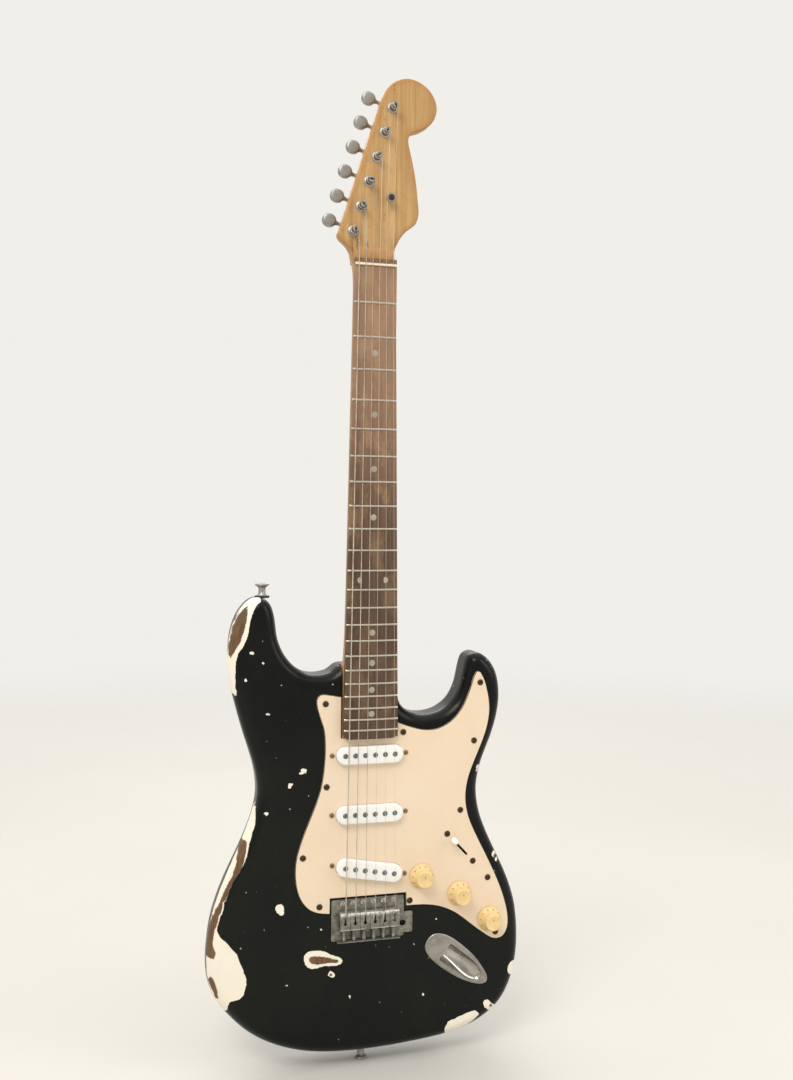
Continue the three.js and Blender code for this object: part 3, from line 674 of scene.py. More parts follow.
def lacquer():
    """Black over cream primer over bare wood, following the white and wood fields of the body's mesh."""
    s = Shader("lacquer")
    ragged = s.times(s.math("SUBTRACT", s.noise(160, 5, 0.6), 0.5), 3.4)
    fine = s.math("SUBTRACT", s.noise(900, 3), 0.5)
    shift = s.plus(ragged, fine)
    primer = s.between(s.plus(s.attribute("white"), shift), -0.15, 0.2)
    wood = s.between(s.plus(s.attribute("wood"), shift), -0.2, 0.3)
    rim = s.between(s.plus(s.attribute("wood"), shift), -1.6, 0.0)

    speck_cells = s.cells(210)
    speck_size = s.between(s.add("ShaderNodeSeparateColor", None, {
        "Color": speck_cells.outputs["Color"]}).outputs[0], 0.955, 1.0, 0.0, 0.17)
    speck_edge = s.plus(speck_cells.outputs["Distance"], s.between(fine, -0.4, 0.4, -0.07, 0.07))
    specks = s.math("LESS_THAN", speck_edge, speck_size)

    haze = s.noise(14, 4)
    black = s.tinted(BLACK, (0.006, 0.007, 0.005), haze, 0.35, 0.75)
    black = s.mix(s.times(specks, 0.75), black, (0.55, 0.52, 0.45))
    cream = s.tinted(PRIMER, (0.90, 0.84, 0.73), s.noise(60, 5), 0.35, 0.7)
    cream = s.mix(s.times(rim, 0.25), cream, (0.70, 0.55, 0.38))
    grain = s.noise((420, 420, 22), 6, 0.65, 0.4)
    bare = s.ramp(grain, [(0.25, (0.075, 0.036, 0.018)), (0.5, BARE_WOOD), (0.8, (0.25, 0.15, 0.08))])
    bare = s.tinted(bare, (0.12, 0.085, 0.055), s.noise((45, 45, 20), 3), 0.45, 0.75)
    colour = s.mix(primer, black, cream)
    colour = s.mix(s.times(wood, primer), colour, bare)

    gloss = s.between(s.noise(30, 5, 0.7), 0.3, 0.8, 0.2, 0.34)
    scuffed = s.add("ShaderNodeMix", {"data_type": "FLOAT"}, {0: primer, 2: gloss, 3: 0.62}).outputs[0]
    s.set(base_color=colour, roughness=scuffed, specular_ior_level=0.19)
    s.bump(s.noise(120, 2), 0.00004, 0.5)
    s.bump(s.plus(s.times(primer, -1.0), s.times(wood, -0.7)), 0.00035, 0.7)
    s.bump(s.times(grain, wood), 0.0001, 0.5)
    return s.material


def maple():
    s = Shader("maple")
    grain = s.noise((330, 330, 9), 7, 0.62, 0.3)
    broad = s.noise((48, 48, 2.6), 4, 0.6, 0.5)
    colour = s.ramp(broad, [(0.25, (0.42, 0.235, 0.085)), (0.48, (0.55, 0.335, 0.14)),
                            (0.72, (0.65, 0.43, 0.20))])
    colour = s.tinted(colour, (0.33, 0.175, 0.065), grain, 0.38, 0.72, 0.6)
    edge = s.attribute("edge")
    colour = s.tinted(colour, (0.42, 0.19, 0.055), edge, 8.0, 0.5, 0.5)
    stain = s.between(s.noise((34, 34, 20), 5, 0.7, 0.8), 0.5, 0.72)
    colour = s.mix(s.times(stain, 0.4), colour, (0.36, 0.20, 0.085))
    streaks = s.between(s.noise((210, 210, 5), 4, 0.7, 0.6), 0.58, 0.70)
    near_nut = s.between(s.coordinate(2), 0.865, 0.815)
    dirty = s.times(streaks, s.plus(s.times(near_nut, 0.5), 0.32))
    colour = s.mix(dirty, colour, (0.13, 0.075, 0.035))
    spots = s.between(s.noise((105, 105, 42), 5, 0.78), 0.615, 0.70)
    colour = s.mix(s.times(spots, 0.7), colour, (0.14, 0.08, 0.04))
    s.set(base_color=colour, roughness=s.between(broad, 0.2, 0.8, 0.38, 0.5), specular_ior_level=0.3)
    s.bump(grain, 0.00004, 0.35)
    s.bump(s.times(spots, -1.0), 0.0001, 0.4)
    return s.material


def rosewood():
    s = Shader("rosewood")
    fibre = s.noise((760, 300, 14), 8, 0.7, 0.3)
    band = s.noise((165, 60, 3.2), 4, 0.62, 0.5)
    colour = s.ramp(band, [(0.2, (0.085, 0.043, 0.024)), (0.45, (0.15, 0.075, 0.040)),
                           (0.62, (0.20, 0.105, 0.057)), (0.85, (0.27, 0.155, 0.085))])
    colour = s.tinted(colour, (0.055, 0.032, 0.022), fibre, 0.42, 0.66, 0.75)
    pale = s.between(s.noise((58, 40, 24), 6, 0.68), 0.47, 0.64)
    colour = s.mix(s.times(pale, 0.6), colour, (0.40, 0.24, 0.115))
    dark = s.between(s.noise((75, 60, 30), 5, 0.7, 0.4), 0.54, 0.7)
    colour = s.mix(s.times(dark, 0.5), colour, (0.09, 0.05, 0.03))
    # Painted light: a painted sheen makes the board paler up towards the nut, and painted shade makes it
    # darker down towards the body.
    sheen_to_shade = s.between(s.coordinate(2), 0.80, 0.40)
    colour = s.mix(s.between(sheen_to_shade, 0.0, 0.7, 0.5, 0.0), colour, (0.46, 0.275, 0.16))
    colour = s.tinted(colour, (0.05, 0.028, 0.017), sheen_to_shade, 0.4, 1.0, 0.6)
    tip = s.between(s.coordinate(2), 0.8184, 0.8192)
    grime = s.times(tip, s.between(s.noise((420, 420, 300), 4, 0.7), 0.38, 0.62))
    colour = s.mix(s.times(grime, 0.85), colour, (0.07, 0.04, 0.025))
    s.set(base_color=colour, roughness=s.between(fibre, 0.3, 0.7, 0.42, 0.62))
    s.bump(fibre, 0.00012, 0.6)
    return s.material


def plastic(name, colour, stain, stain_amount, roughness, scale):
    """A moulded plastic, stained in clouds."""
    s = Shader(name)
    cloud = s.between(s.noise(scale, 5, 0.6), 0.4, 0.78, 0.0, stain_amount)
    fine = s.noise(700, 3)
    mixed = s.mix(cloud, colour, stain)
    s.set(base_color=mixed, roughness=s.between(fine, 0.3, 0.7, roughness - 0.05, roughness + 0.07))
    s.bump(fine, 0.00001, 0.4)
    return s.material


def guard_plastic():
    s = Shader("guard_plastic")
    cloud = s.between(s.noise(20, 5, 0.6), 0.35, 0.75)
    colour = s.mix(cloud, (0.84, 0.665, 0.48), (0.86, 0.70, 0.535))
    grime = s.between(s.noise(90, 6, 0.75), 0.62, 0.85, 0.0, 0.22)
    colour = s.mix(grime, colour, (0.60, 0.42, 0.27))
    depth = s.coordinate(1)
    ply = s.times(s.between(depth, -0.02430, -0.02422), s.between(depth, -0.02330, -0.02320, 1.0, 0.0))
    colour = s.mix(ply, colour, (0.10, 0.075, 0.055))
    s.set(base_color=colour, roughness=s.between(s.noise(55, 5, 0.7), 0.3, 0.75, 0.28, 0.42))
    s.bump(s.noise(900, 2), 0.00001, 0.4)
    return s.material


def metal(name, bright, dull, roughness, tarnish, scale, streak=(1, 1, 1), metallic=1.0):
    """A worn metal in two tones, with fine scratches that run as `streak` stretches them."""
    s = Shader(name)
    cloud = s.noise(scale, 6, 0.68)
    fine = s.noise(tuple(9 * scale * share for share in streak), 4, 0.7)
    colour = s.tinted(bright, dull, cloud, 0.46 - tarnish / 4, 0.95 - tarnish / 4)
    colour = s.tinted(colour, tuple(0.55 * c for c in dull), fine, 0.55, 0.8, 0.3)
    s.set(base_color=colour, metallic=metallic,
          roughness=s.between(cloud, 0.3, 0.72, roughness, min(1.0, roughness + 0.22)))
    s.bump(fine, 0.00002, 0.5)
    return s.material


def plate_nickel():
    """The jack plate: satin around its edge and smoother down in the hollow, where a painted sheen makes its
    colour lighter.
    """
    s = Shader("plate_nickel")
    cloud = s.noise(70, 6, 0.68)
    fine = s.noise(640, 4, 0.7)
    hollow = s.between(s.attribute("hollow"), 0.15, 1.6)
    outside = s.tinted((0.42, 0.40, 0.365), (0.30, 0.275, 0.24), cloud, 0.35, 0.7)
    # Painted sheen: the hollow gets a lighter copy of the plate's colour.
    hollow_sheen = s.tinted((0.56, 0.54, 0.50), (0.38, 0.35, 0.30), cloud, 0.35, 0.7)
    colour = s.mix(hollow, outside, hollow_sheen)
    colour = s.tinted(colour, (0.16, 0.15, 0.13), fine, 0.55, 0.8, 0.25)
    s.set(base_color=colour, metallic=1.0, roughness=s.between(hollow, 0.0, 1.0, 0.42, 0.2))
    s.bump(fine, 0.00002, 0.4)
    return s.material


def aged_nickel():
    """The bridge's dull plating, with a painted highlight, broken up by noise, where the mesh marks the
    saddles' bends.
    """
    s = Shader("aged_nickel")
    cloud = s.noise(170, 6, 0.7)
    fine = s.noise(1300, 4, 0.7)
    # Painted highlight: a bright streak along the saddles' bends, broken up by noise.
    worn = s.times(s.attribute("worn"), s.between(s.noise(140, 4, 0.7), 0.38, 0.52))
    colour = s.tinted((0.31, 0.305, 0.26), (0.15, 0.145, 0.115), cloud, 0.36, 0.66)
    colour = s.tinted(colour, (0.09, 0.085, 0.07), fine, 0.55, 0.8, 0.35)
    # the painted highlight's colour
    colour = s.mix(worn, colour, (0.80, 0.78, 0.71))
    s.set(base_color=colour, metallic=0.8, roughness=s.between(cloud, 0.3, 0.72, 0.34, 0.55))
    s.bump(fine, 0.00002, 0.5)
    return s.material


def wound_string():
    """Round-wound steel: fine turns along the string over a tarnished base."""
    s = Shader("wound_string")
    turns = s.add("ShaderNodeTexWave", {"bands_direction": "Z", "wave_profile": "SIN"}, {
        "Vector": s.place, "Scale": 900.0, "Distortion": 0.0}).outputs["Fac"]
    cloud = s.noise((20, 20, 60), 4)
    colour = s.tinted((0.70, 0.64, 0.53), (0.46, 0.39, 0.30), cloud, 0.35, 0.7)
    colour = s.tinted(colour, (0.16, 0.13, 0.10), turns, 0.45, 0.0, 0.5)
    s.set(base_color=colour, metallic=0.65, roughness=s.between(cloud, 0.3, 0.7, 0.32, 0.45))
    s.bump(turns, 0.0001, 0.8)
    return s.material


# Each finish is its material and the record's slot that it mostly stands for.
FINISHES = {
    "lacquer": (lacquer(), "black_lacquer"),
    "maple": (maple(), "maple"),
    "rosewood": (rosewood(), "rosewood"),
    "guard": (guard_plastic(), "guard_plastic"),
    "aged": (aged_nickel(), "aged_nickel"),
    "plate": (plate_nickel(), "aged_nickel"),
    "wound_string": (wound_string(), "string_steel"),
}
# finish, slot, and the material's name, colour, stain, share of stain, roughness and cloud scale
for finish, slot, *look in (
    ("white", "white_plastic", "white_plastic", (0.92, 0.91, 0.88), (0.80, 0.75, 0.65), 0.2, 0.28, 38),
    ("cream", "cream_plastic", "cream_plastic", (0.86, 0.635, 0.31), (0.72, 0.45, 0.17), 0.55, 0.34, 160),
    ("bone", "bone", "bone", (0.82, 0.69, 0.50), (0.55, 0.38, 0.22), 0.5, 0.4, 220),
    ("pearl", "bone", "dot_inlay", (0.43, 0.385, 0.31), (0.20, 0.16, 0.12), 0.8, 0.3, 23),
    ("ink", "cream_plastic", "dial_ink", (0.17, 0.10, 0.045), (0.30, 0.19, 0.09), 0.6, 0.6, 900),
    ("dark", "dull_steel", "dark_plastic", (0.018, 0.017, 0.016), (0.05, 0.045, 0.04), 0.5, 0.55, 300),
    ("felt", "black_lacquer", "felt", (0.035, 0.038, 0.034), (0.07, 0.07, 0.065), 0.6, 0.9, 900),
):
    FINISHES[finish] = (plastic(*look), slot)
# finish, slot, and the material's name, bright and dull colours, roughness, tarnish, cloud scale,
# and where they differ from the rest the stretch of its scratches and how metallic it is
for finish, slot, *look in (
    ("nickel", "nickel", "nickel", (0.56, 0.545, 0.505), (0.38, 0.355, 0.31), 0.24, 0.45, 110),
    ("tuner_metal", "nickel", "tuner_metal", (0.46, 0.44, 0.405), (0.29, 0.265, 0.23), 0.40, 0.55, 150),
    ("fret", "nickel", "fret_nickel", (0.68, 0.63, 0.54), (0.48, 0.43, 0.35), 0.3, 0.4, 200),
    ("steel", "dull_steel", "steel", (0.42, 0.42, 0.40), (0.22, 0.21, 0.19), 0.38, 0.5, 120),
    ("pole", "dull_steel", "pole_steel", (0.24, 0.29, 0.30), (0.10, 0.12, 0.125), 0.4, 0.5, 300),
    ("bronze", "dull_steel", "screw_bronze", (0.13, 0.085, 0.05), (0.05, 0.033, 0.02), 0.42, 0.6, 400),
    ("brass", "dull_steel", "screw_brass", (0.42, 0.30, 0.175), (0.20, 0.13, 0.075), 0.4, 0.6, 400),
    ("winding", "dull_steel", "coil_winding", (0.30, 0.12, 0.05), (0.16, 0.06, 0.03), 0.5, 0.5, 300,
     (0.1, 0.1, 4)),
    ("spring", "spring_steel", "spring_steel", (0.52, 0.51, 0.48), (0.30, 0.28, 0.25), 0.3, 0.5, 200),
    ("plain_string", "string_steel", "plain_string", (0.74, 0.68, 0.57), (0.50, 0.43, 0.33), 0.3, 0.4, 50,
     (1, 1, 1), 0.65),
):
    FINISHES[finish] = (metal(*look), slot)

# ---------- the body ----------

# Worn places in the lacquer, as (x, z) outlines on the body's face. The ones along the bass
# edge run past it, so that they also cover its rounding.
WHITE_PATCHES = [
    # bass horn
    [(-110, 480), (-117, 474), (-121, 465), (-124.1, 448), (-128.2, 436), (-133.5, 428.6), (-135.7, 415),
     (-134.4, 384), (-137.5, 388), (-146, 400), (-156, 430), (-150, 470), (-128, 492), (-114, 488)],
    # bass lower bout: a strip that widens into the large patch
    [(-113.7, 278), (-115.3, 256.6), (-119.6, 242.5), (-123.9, 223.2), (-138, 195.7), (-146.6, 169.7),
     (-150.5, 147.5), (-142.9, 139.1), (-132.1, 125.5), (-126.8, 112.4), (-122.6, 99.4), (-127.5, 82.5),
     (-139.8, 76.5), (-141, 68), (-152, 58), (-170, 80), (-172, 150), (-158, 200), (-136, 243), (-121, 268)],
    # below the bridge
    [(-65.4, 117), (-63.3, 123.6), (-57, 125.6), (-46, 124.2), (-37.5, 119.5), (-30, 117), (-25.4, 113),
     (-27, 109.6), (-34, 107.8), (-46, 108.6), (-53, 106.6), (-60.5, 108.6), (-64.6, 112.4)],
    # treble edge of the lower bout, and its end
    [(85.5, 31), (88.5, 36.5), (96, 39), (110, 43.5), (121, 44.6), (124.3, 40.6), (112, 30), (98, 21),
     (88, 19)],
    [(154.5, 88), (158.5, 93), (166, 92), (172, 84), (164, 76), (156.5, 80.5)],
    [(127.5, 54), (132, 56), (139, 50), (144, 46.5), (141, 40), (133, 44), (128.5, 48.5)],
]
WOOD_PATCHES = [
    [(-123.5, 475.5), (-125, 466), (-128.8, 449), (-134.6, 434), (-138.3, 427.5), (-139.2, 420),
     (-141.5, 428), (-140.3, 440), (-137.8, 452.2), (-131.4, 467)],
    [(-123, 240), (-124.6, 225.2), (-130.2, 208.7), (-140, 189.5), (-147.8, 170.2), (-153, 150.8),
     (-155.2, 136), (-152.8, 127), (-154.5, 121.5), (-160.8, 122), (-166, 130), (-163.5, 143), (-157.5, 158),
     (-150.5, 174), (-143.5, 191), (-136, 208), (-131.5, 224), (-127.6, 238)],
    [(-156.2, 104.7), (-152.6, 96), (-148.6, 79), (-151.6, 80.4), (-156.2, 91), (-158.6, 101)],
    [(-60.2, 118.2), (-56, 120.2), (-44, 117.6), (-35, 115.2), (-29, 113.6), (-31.1, 110.6), (-41.5, 111.3),
     (-55, 111.6), (-60.4, 114.6)],
    [(91, 42), (93, 39.4), (101, 41.6), (99, 43.5)],
    [(134, 50), (137, 50.6), (139, 47), (135.5, 45.6)],
]
# Single chips, as (x, z, radius) of bare primer
CHIPS = [
    (-90.4, 171.2, 4.6), (-89.2, 167.4, 3.6), (-105.6, 151.8, 1.8), (-105.2, 155, 1.2), (-83.4, 92.6, 2.0),
    (-120.6, 429.3, 2.2), (-118.7, 428.2, 1.5), (-109.2, 418.1, 1.7), (-126, 402.5, 1.9),
    (-122.4, 423.5, 1.0),
    (-104, 367.5, 2.4), (-68, 309, 2.8), (-69.8, 306.8, 2.6), (-65.6, 308.6, 2.0), (-80.5, 295.6, 2.4),
    (-81.5, 293.6, 1.6), (-104.8, 267.9, 2.1), (-17.2, 74.2, 1.9), (49.5, 121.5, 1.9), (38.9, 102.7, 1.6),
    (60.9, 68.9, 1.7), (86.3, 56.7, 1.6), (84.8, 53.6, 1.2), (74.2, 146.5, 1.4), (-62.5, 150.5, 1.4),
    (-48.1, 147.1, 1.4), (-37.6, 99.7, 3.0), (-35.4, 98.0, 2.2), (119.5, 303, 2.6), (118.4, 299.6, 1.7),
    (138.5, 209, 3.2), (141.2, 203.5, 2.2), (108, 50.6, 1.3), (-28, 33, 1.3), (-18, 47, 1.1),
]
# Which of the chips go down to bare wood
WOOD_CHIPS = [(-37.2, 99.4, 1.6), (139.6, 207, 2.3), (118.8, 302, 1.2)]
FRONT_WEAR_LIMIT = 0.5                 # how far round the edge the worn places reach, as y


def patch_field(points, patches, chips):
    """How far inside the patches of wear each point of the body lies, in millimetres; negative outside."""
    plan = points[:, [0, 2]]
    field = np.full(len(points), -30.0)
    for patch in patches:
        patch = smooth(np.array(patch, float), 3.0, corner_degrees=75)
        inward = np.where(inside(plan, patch), 1.0, -1.0) * distance_to(plan, patch)
        field = np.maximum(field, inward)
    for x, z, radius in chips:
        field = np.maximum(field, radius - np.hypot(plan[:, 0] - x, plan[:, 1] - z))
    return np.minimum(field, FRONT_WEAR_LIMIT - points[:, 1])


# The forearm contour and the belly cut both slope away from a straight line across the body's
# bass side, each given by two (x, z) points on that line.
FOREARM_LINE = ((-95, 362), (-42, 8))
FOREARM_DEPTH = 11.5
FOREARM_WIDTH = 95
BELLY_LINE = ((-40, 420), (-70, 200))
BELLY_DEPTH = 10.5
BELLY_WIDTH = 62


def slope(plan, line, width, depth):
    a, b = np.array(line[0], float), np.array(line[1], float)
    along = (b - a) / np.linalg.norm(b - a)
    beyond = (plan - a) @ np.array([along[1], -along[0]])
    return depth * np.clip(beyond / width, 0, 1.15) ** 2


def ease(value, low, high):
    t = np.clip((value - low) / (high - low), 0, 1)
    return t * t * (3 - 2 * t)


def rounded_edge(distance):
    """Depth of the edge rounding at a distance in from the outline."""
    inward = np.clip(1 - distance / EDGE_RADIUS, 0, 1)
    return EDGE_RADIUS * (1 - np.sqrt(1 - inward**2))


def body_block():
    outline = wound(smooth(section("body", 12)[0], 2.4))
    rings = []
    for angle in np.radians([14, 28, 42, 56, 70, 84]):
        depth = EDGE_RADIUS * (1 - math.cos(angle))
        ring = inset(outline, depth)
        rings.append(ring[distance_to(ring, outline) > 0.97 * depth])
    step = 3.4
    x, z = np.meshgrid(np.arange(-160, 168, step), np.arange(14, 484, step))
    grid = np.c_[x.ravel(), z.ravel()]
    grid = grid[inside(grid, outline)]
    grid = grid[distance_to(grid, outline) > EDGE_RADIUS + 1.2]
    plan = np.concatenate([outline, *rings, grid])
    triangles = triangulate([outline], np.concatenate([*rings, grid]))
    distance = distance_to(plan, outline)
    forearm = slope(plan, FOREARM_LINE, FOREARM_WIDTH, FOREARM_DEPTH)
    belly = slope(plan, BELLY_LINE, BELLY_WIDTH, BELLY_DEPTH)
    belly *= ease(plan[:, 1], 190, 275) * (1 - ease(plan[:, 1], 400, 465))
    front = FACE + forearm + rounded_edge(distance)
    back = BACK - belly - rounded_edge(distance)
    count, rim = len(plan), len(outline)
    levels = [np.c_[plan[:, 0], front, plan[:, 1]], np.c_[plan[:, 0], back, plan[:, 1]]]
    faces = [list(t) for t in triangles] + [list(t[::-1] + count) for t in triangles]
    side_steps = 6
    walls = [np.arange(rim)]
    start = 2 * count
    for k in range(1, side_steps):
        share = k / side_steps
        y = front[:rim] * (1 - share) + back[:rim] * share
        levels.append(np.c_[outline[:, 0], y, outline[:, 1]])
        walls.append(np.arange(rim) + start)
        start += rim
    walls.append(np.arange(rim) + count)
    for upper, lower in zip(walls, walls[1:]):
        for i in range(rim):
            j = (i + 1) % rim
            faces.append([upper[j], upper[i], lower[i], lower[j]])
    return np.concatenate(levels), faces


CONTROL_ROUTE = [
    (36, 182), (64, 174.5), (88, 157.5), (117, 137), (133, 128.5), (146.5, 136.5), (147, 151.5),
    (134, 165), (122, 186), (126, 197), (119, 212), (94, 242), (80, 249), (68, 242), (64, 226), (36, 222),
]
# How far in, as y, each room in the body goes from the face
POCKET_FLOOR = -6.35
PICKUP_FLOOR = -3.25
CONTROL_FLOOR = 10
JACK_FLOOR = 9
SPRING_ROOM_FRONT = 6                  # this one goes in from the back
JACK_PLACE = (97.3, 101.2)
JACK_TURN = -0.6732                    # of the plate's long axis, in radians


def dish_half_width(along):
    """Half the width of the jack plate's hollow at a distance along the plate."""
    return 10.2 * np.sqrt(np.clip(1 - np.clip((along - 7) / 27.0, 0, 1) ** 2.1, 0, 1))


def make_body():
    front, behind = FACE - OVERCUT, BACK + OVERCUT
    along = np.linspace(-13, 33.6, 24)
    side = np.c_[along, dish_half_width(along) + 0.5]
    hollow = np.r_[[(-34, 11.2), (-13, 11.2)], side, side[::-1] * (1, -1), [(-13, -11.2), (-34, -11.2)]]
    jack_plan = turned(hollow[::-1], JACK_TURN, *JACK_PLACE)
    pocket = rectangle(-28.8, 28.8, box_mm("neck")[0][2] - 0.3, BODY_HIGH[2])
    pickup_room = rectangle(-43, 43, 186, 335, 4)
    block_way = rectangle(-36, 36, 141, 168, 3)
    spring_room = rectangle(-38, 38, 141, 262, 5)
    routes = [
        prism(pocket, front, POCKET_FLOOR),
        prism(pickup_room, front, PICKUP_FLOOR),
        prism(np.array(CONTROL_ROUTE, float), front, CONTROL_FLOOR),
        prism(jack_plan, front, JACK_FLOOR),
        prism(block_way, front, behind),
        prism(spring_room, SPRING_ROOM_FRONT, behind),
    ]
    mesh = carved(body_block(), removed=routes, smooth_angle=40)
    points = vertices_of(mesh)
    write_field(mesh, "white", patch_field(points, WHITE_PATCHES, CHIPS))
    write_field(mesh, "wood", patch_field(points, WOOD_PATCHES, WOOD_CHIPS))
    piece("body_shell", mesh, "lacquer", replaces="body")


# ---------- neck, fingerboard, frets and nut ----------


def neck_ring(z, back, squareness):
    """The neck's section at a height: flat against the fingerboard, and round or square behind."""
    front = BOARD_BACK + 0.3
    angle = np.linspace(0, math.pi, 29)
    half = board_half_width(z)
    x = half * np.sign(np.cos(angle)) * np.abs(np.cos(angle)) ** squareness
    y = front + (back - front) * np.abs(np.sin(angle)) ** squareness
    return np.c_[x, y, np.full(len(angle), z)]


def make_neck():
    neck_front = BOARD_BACK + 0.3
    heel_back = -6.65
    heel_low = box_mm("neck")[0][2]
    tongue_end = 414
    heel_half = board_half_width(heel_low) - 0.1
    heel_top_half = board_half_width(tongue_end) - 0.1
    heel = slab([np.array([(-heel_half, heel_low), (heel_half, heel_low),
                           (heel_top_half, tongue_end), (-heel_top_half, tongue_end)])],
                [(neck_front, 0), (heel_back - 1.2, 0), (heel_back, 1.2)])
    # stations up the neck: z, y of its back, and how square its section is
    stations = np.array([
        (tongue_end - 4, heel_back - 0.2, 0.32), (tongue_end + 8, heel_back - 0.7, 0.5),
        (tongue_end + 34, heel_back - 1.8, 0.72), (fret_z(12), BOARD_TOP + 22.9, 0.82),
        (fret_z(5), BOARD_TOP + 21.6, 0.82), (NUT_Z - 30, BOARD_TOP + 21, 0.82),
        (NUT_Z - 16, BOARD_TOP + 21.4, 0.72), (NUT_Z - 5, BOARD_TOP + 22.3, 0.5),
        (NUT_Z + 1.5, HEAD_BACK, 0.3), (NUT_Z + 4, HEAD_BACK + 0.04, 0.24),
        (NUT_Z + 7.5, HEAD_BACK - 0.1, 0.2),
    ])
    heights = np.unique(np.r_[stations[:, 0], np.linspace(stations[0, 0], stations[-1, 0], 70)])
    shaft = loft([neck_ring(z, np.interp(z, stations[:, 0], stations[:, 1]),
                            np.interp(z, stations[:, 0], stations[:, 2])) for z in heights])

    outline = section("neck", (HEAD_FACE + HEAD_BACK) / 2)[0]
    outline = wound(outline[outline[:, 1] > NUT_Z + 0.9])
    outline[:, 1] = np.maximum(outline[:, 1], NUT_Z + 3.4)
    head_outline = smooth(outline, 1.8)
    x, z = np.meshgrid(np.arange(-40, 70, 2.1), np.arange(NUT_Z + 4, 1010, 2.1))
    grid = np.c_[x.ravel(), z.ravel()]
    grid = grid[inside(grid, head_outline) & (distance_to(grid, head_outline) > 2.6)]
    head = slab([head_outline], rounded(HEAD_FACE, HEAD_BACK, 1.6, 1.6, 3), grid)
    scoop_half = NUT_HALF_WIDTH - 0.2
    tip = BOARD_HIGH[2]
    curve = [(neck_front, NUT_Z + 3), (neck_front, tip + 0.6)]
    for t in np.linspace(0.12, 1, 9):
        curve.append((neck_front + (HEAD_FACE - neck_front + 0.5) * t, tip + 0.6 + 12.5 * t**0.62))
    curve += [(HEAD_FACE + 3, tip + 13.4), (HEAD_FACE + 3, NUT_Z + 3)]
    scoop = cross_bar(curve[::-1], -scoop_half, scoop_half)
    holes = []
    for string in STRINGS:
        x, _, z = middle(f"tuner_post_{string}")
        holes.append(prism(circle(3.9, 32, x, z), HEAD_FACE - 3, HEAD_BACK + 3))
    mesh = carved(heel, added=[shaft, head, scoop], removed=holes, smooth_angle=38)
    points = vertices_of(mesh)
    edge = np.full(len(points), 20.0)
    on_head = points[:, 2] > NUT_Z + 4
    sides = np.where(outline[:, 1:] < NUT_Z + 5, outline - (0, 40), outline)
    edge[on_head] = distance_to(points[on_head][:, [0, 2]], sides)
    write_field(mesh, "edge", edge)
    piece("neck_and_head", mesh, "maple", replaces="neck")


def board_surface(x, half):
    """y of the fingerboard's top at x, where it is `half` wide on each side."""
    camber = BOARD_CAMBER * (half / WIDE_HALF_WIDTH) ** 2
    return BOARD_TOP + camber * (np.asarray(x) / half) ** 2


def make_fingerboard():
    low, tip = BOARD_LOW[2], BOARD_HIGH[2]
    corner = 6.0
    straight_from = fret_z(FRETS) + 400   # the board narrows no more from here to the nut
    rings = []
    near_end = low + corner * (1 - np.cos(np.linspace(0, math.pi / 2, 10)))
    for z in [*near_end, *np.linspace(low + corner + 4, tip, 60)]:
        half = min(board_half_width(min(max(z, low), straight_from)), WIDE_HALF_WIDTH + 0.1)
        inward = max(0.0, 1 - (z - low) / corner)
        half -= corner * (1 - math.sqrt(1 - inward**2))
        x = np.linspace(-half, half, 25)
        top = board_surface(x, max(half, 20))
        soft = np.maximum(0, np.abs(x) - (half - 0.8)) * 0.35
        rings.append(np.r_[np.c_[x, top + soft, np.full(25, z)],
                           [(half, BOARD_BACK, z), (-half, BOARD_BACK, z)]])
    slot = prism(rectangle(-40, 40, NUT_Z, NUT_Z + 3.3), BOARD_TOP - 4, BOARD_TOP + 2.6)
    board = carved(loft(rings), removed=[slot])
    piece("fingerboard_wood", board, "rosewood", replaces="fingerboard")


def make_frets():
    crown_width, crown_height = 2.0, 1.0
    for fret in range(1, FRETS + 1):
        z = fret_z(fret)
        half = board_half_width(z)
        rings = []
        for share in [-1, -0.985, -0.96, *np.linspace(-0.9, 0.9, 19), 0.96, 0.985, 1]:
            x = half * share
            squash = 1 - 0.75 * ease(abs(share), 0.955, 1.0)
            surface = float(board_surface(x, half))
            angle = np.linspace(0, math.pi, 11)
            ring = [(x, surface - crown_height * squash * math.sin(a), z + crown_width / 2 * math.cos(a))
                    for a in angle]
            ring += [(x, surface + 0.6, z - 0.5), (x, surface + 0.6, z + 0.5)]
            rings.append(ring)
        piece(f"fret_{fret}", loft(rings), "fret")


def make_dots():
    for fret in (3, 5, 7, 9, 12, 15, 17, 19, 21):
        z = (fret_z(fret - 1) + fret_z(fret)) / 2
        half = board_half_width(z)
        sides = (-half * 0.5, half * 0.5) if fret == 12 else (0,)
        for side, x in enumerate(sides):
            y = float(board_surface(x, half))
            profile = [(0, -1.5), (3.1, -1.5), (3.1, 0.02), (2.8, 0.07), (0, 0.09)]
            dot = spun(profile, (x, y, z), TOWARD_PLAYER, 36)
            piece(f"dot_{fret}_{side + 1}", dot, "pearl")
        marker = spun([(0, -1), (1.1, -1), (1.1, 0.03), (0, 0.05)],
                      (-half + 0.05, (BOARD_TOP + BOARD_BACK) / 2 + 0.5, z), (-1, 0, 0), 24)
        piece(f"side_dot_{fret}", marker, "pearl")


def make_nut():
    half = NUT_HALF_WIDTH - 0.1
    floor = BOARD_TOP + 2.3
    low, high = NUT_Z + 0.3, NUT_Z + 3.0
    top = STRING_AT_NUT - 0.15
    profile = [(floor, low), (floor, high), (top + 1.9, high), (top + 0.7, high - 0.9),
               (top + 0.15, low + 1.1), (top, low + 0.6), (top + 0.2, low)]
    grooves = []
    for string in STRINGS:
        x = nut_x(string)
        radius = string_radius(string) + 0.08
        line = [(x, STRING_AT_NUT + t * 0.25, low - 2 + t * 7) for t in (0, 0.5, 1)]
        grooves.append(tube(line, radius, 16))
        grooves.append(prism(rectangle(x - radius, x + radius, low - 2, high + 2), top - 3, STRING_AT_NUT))
    piece("nut_bone", carved(cross_bar(profile, -half, half), removed=grooves), "bone", replaces="nut")


# ---------- screws ----------


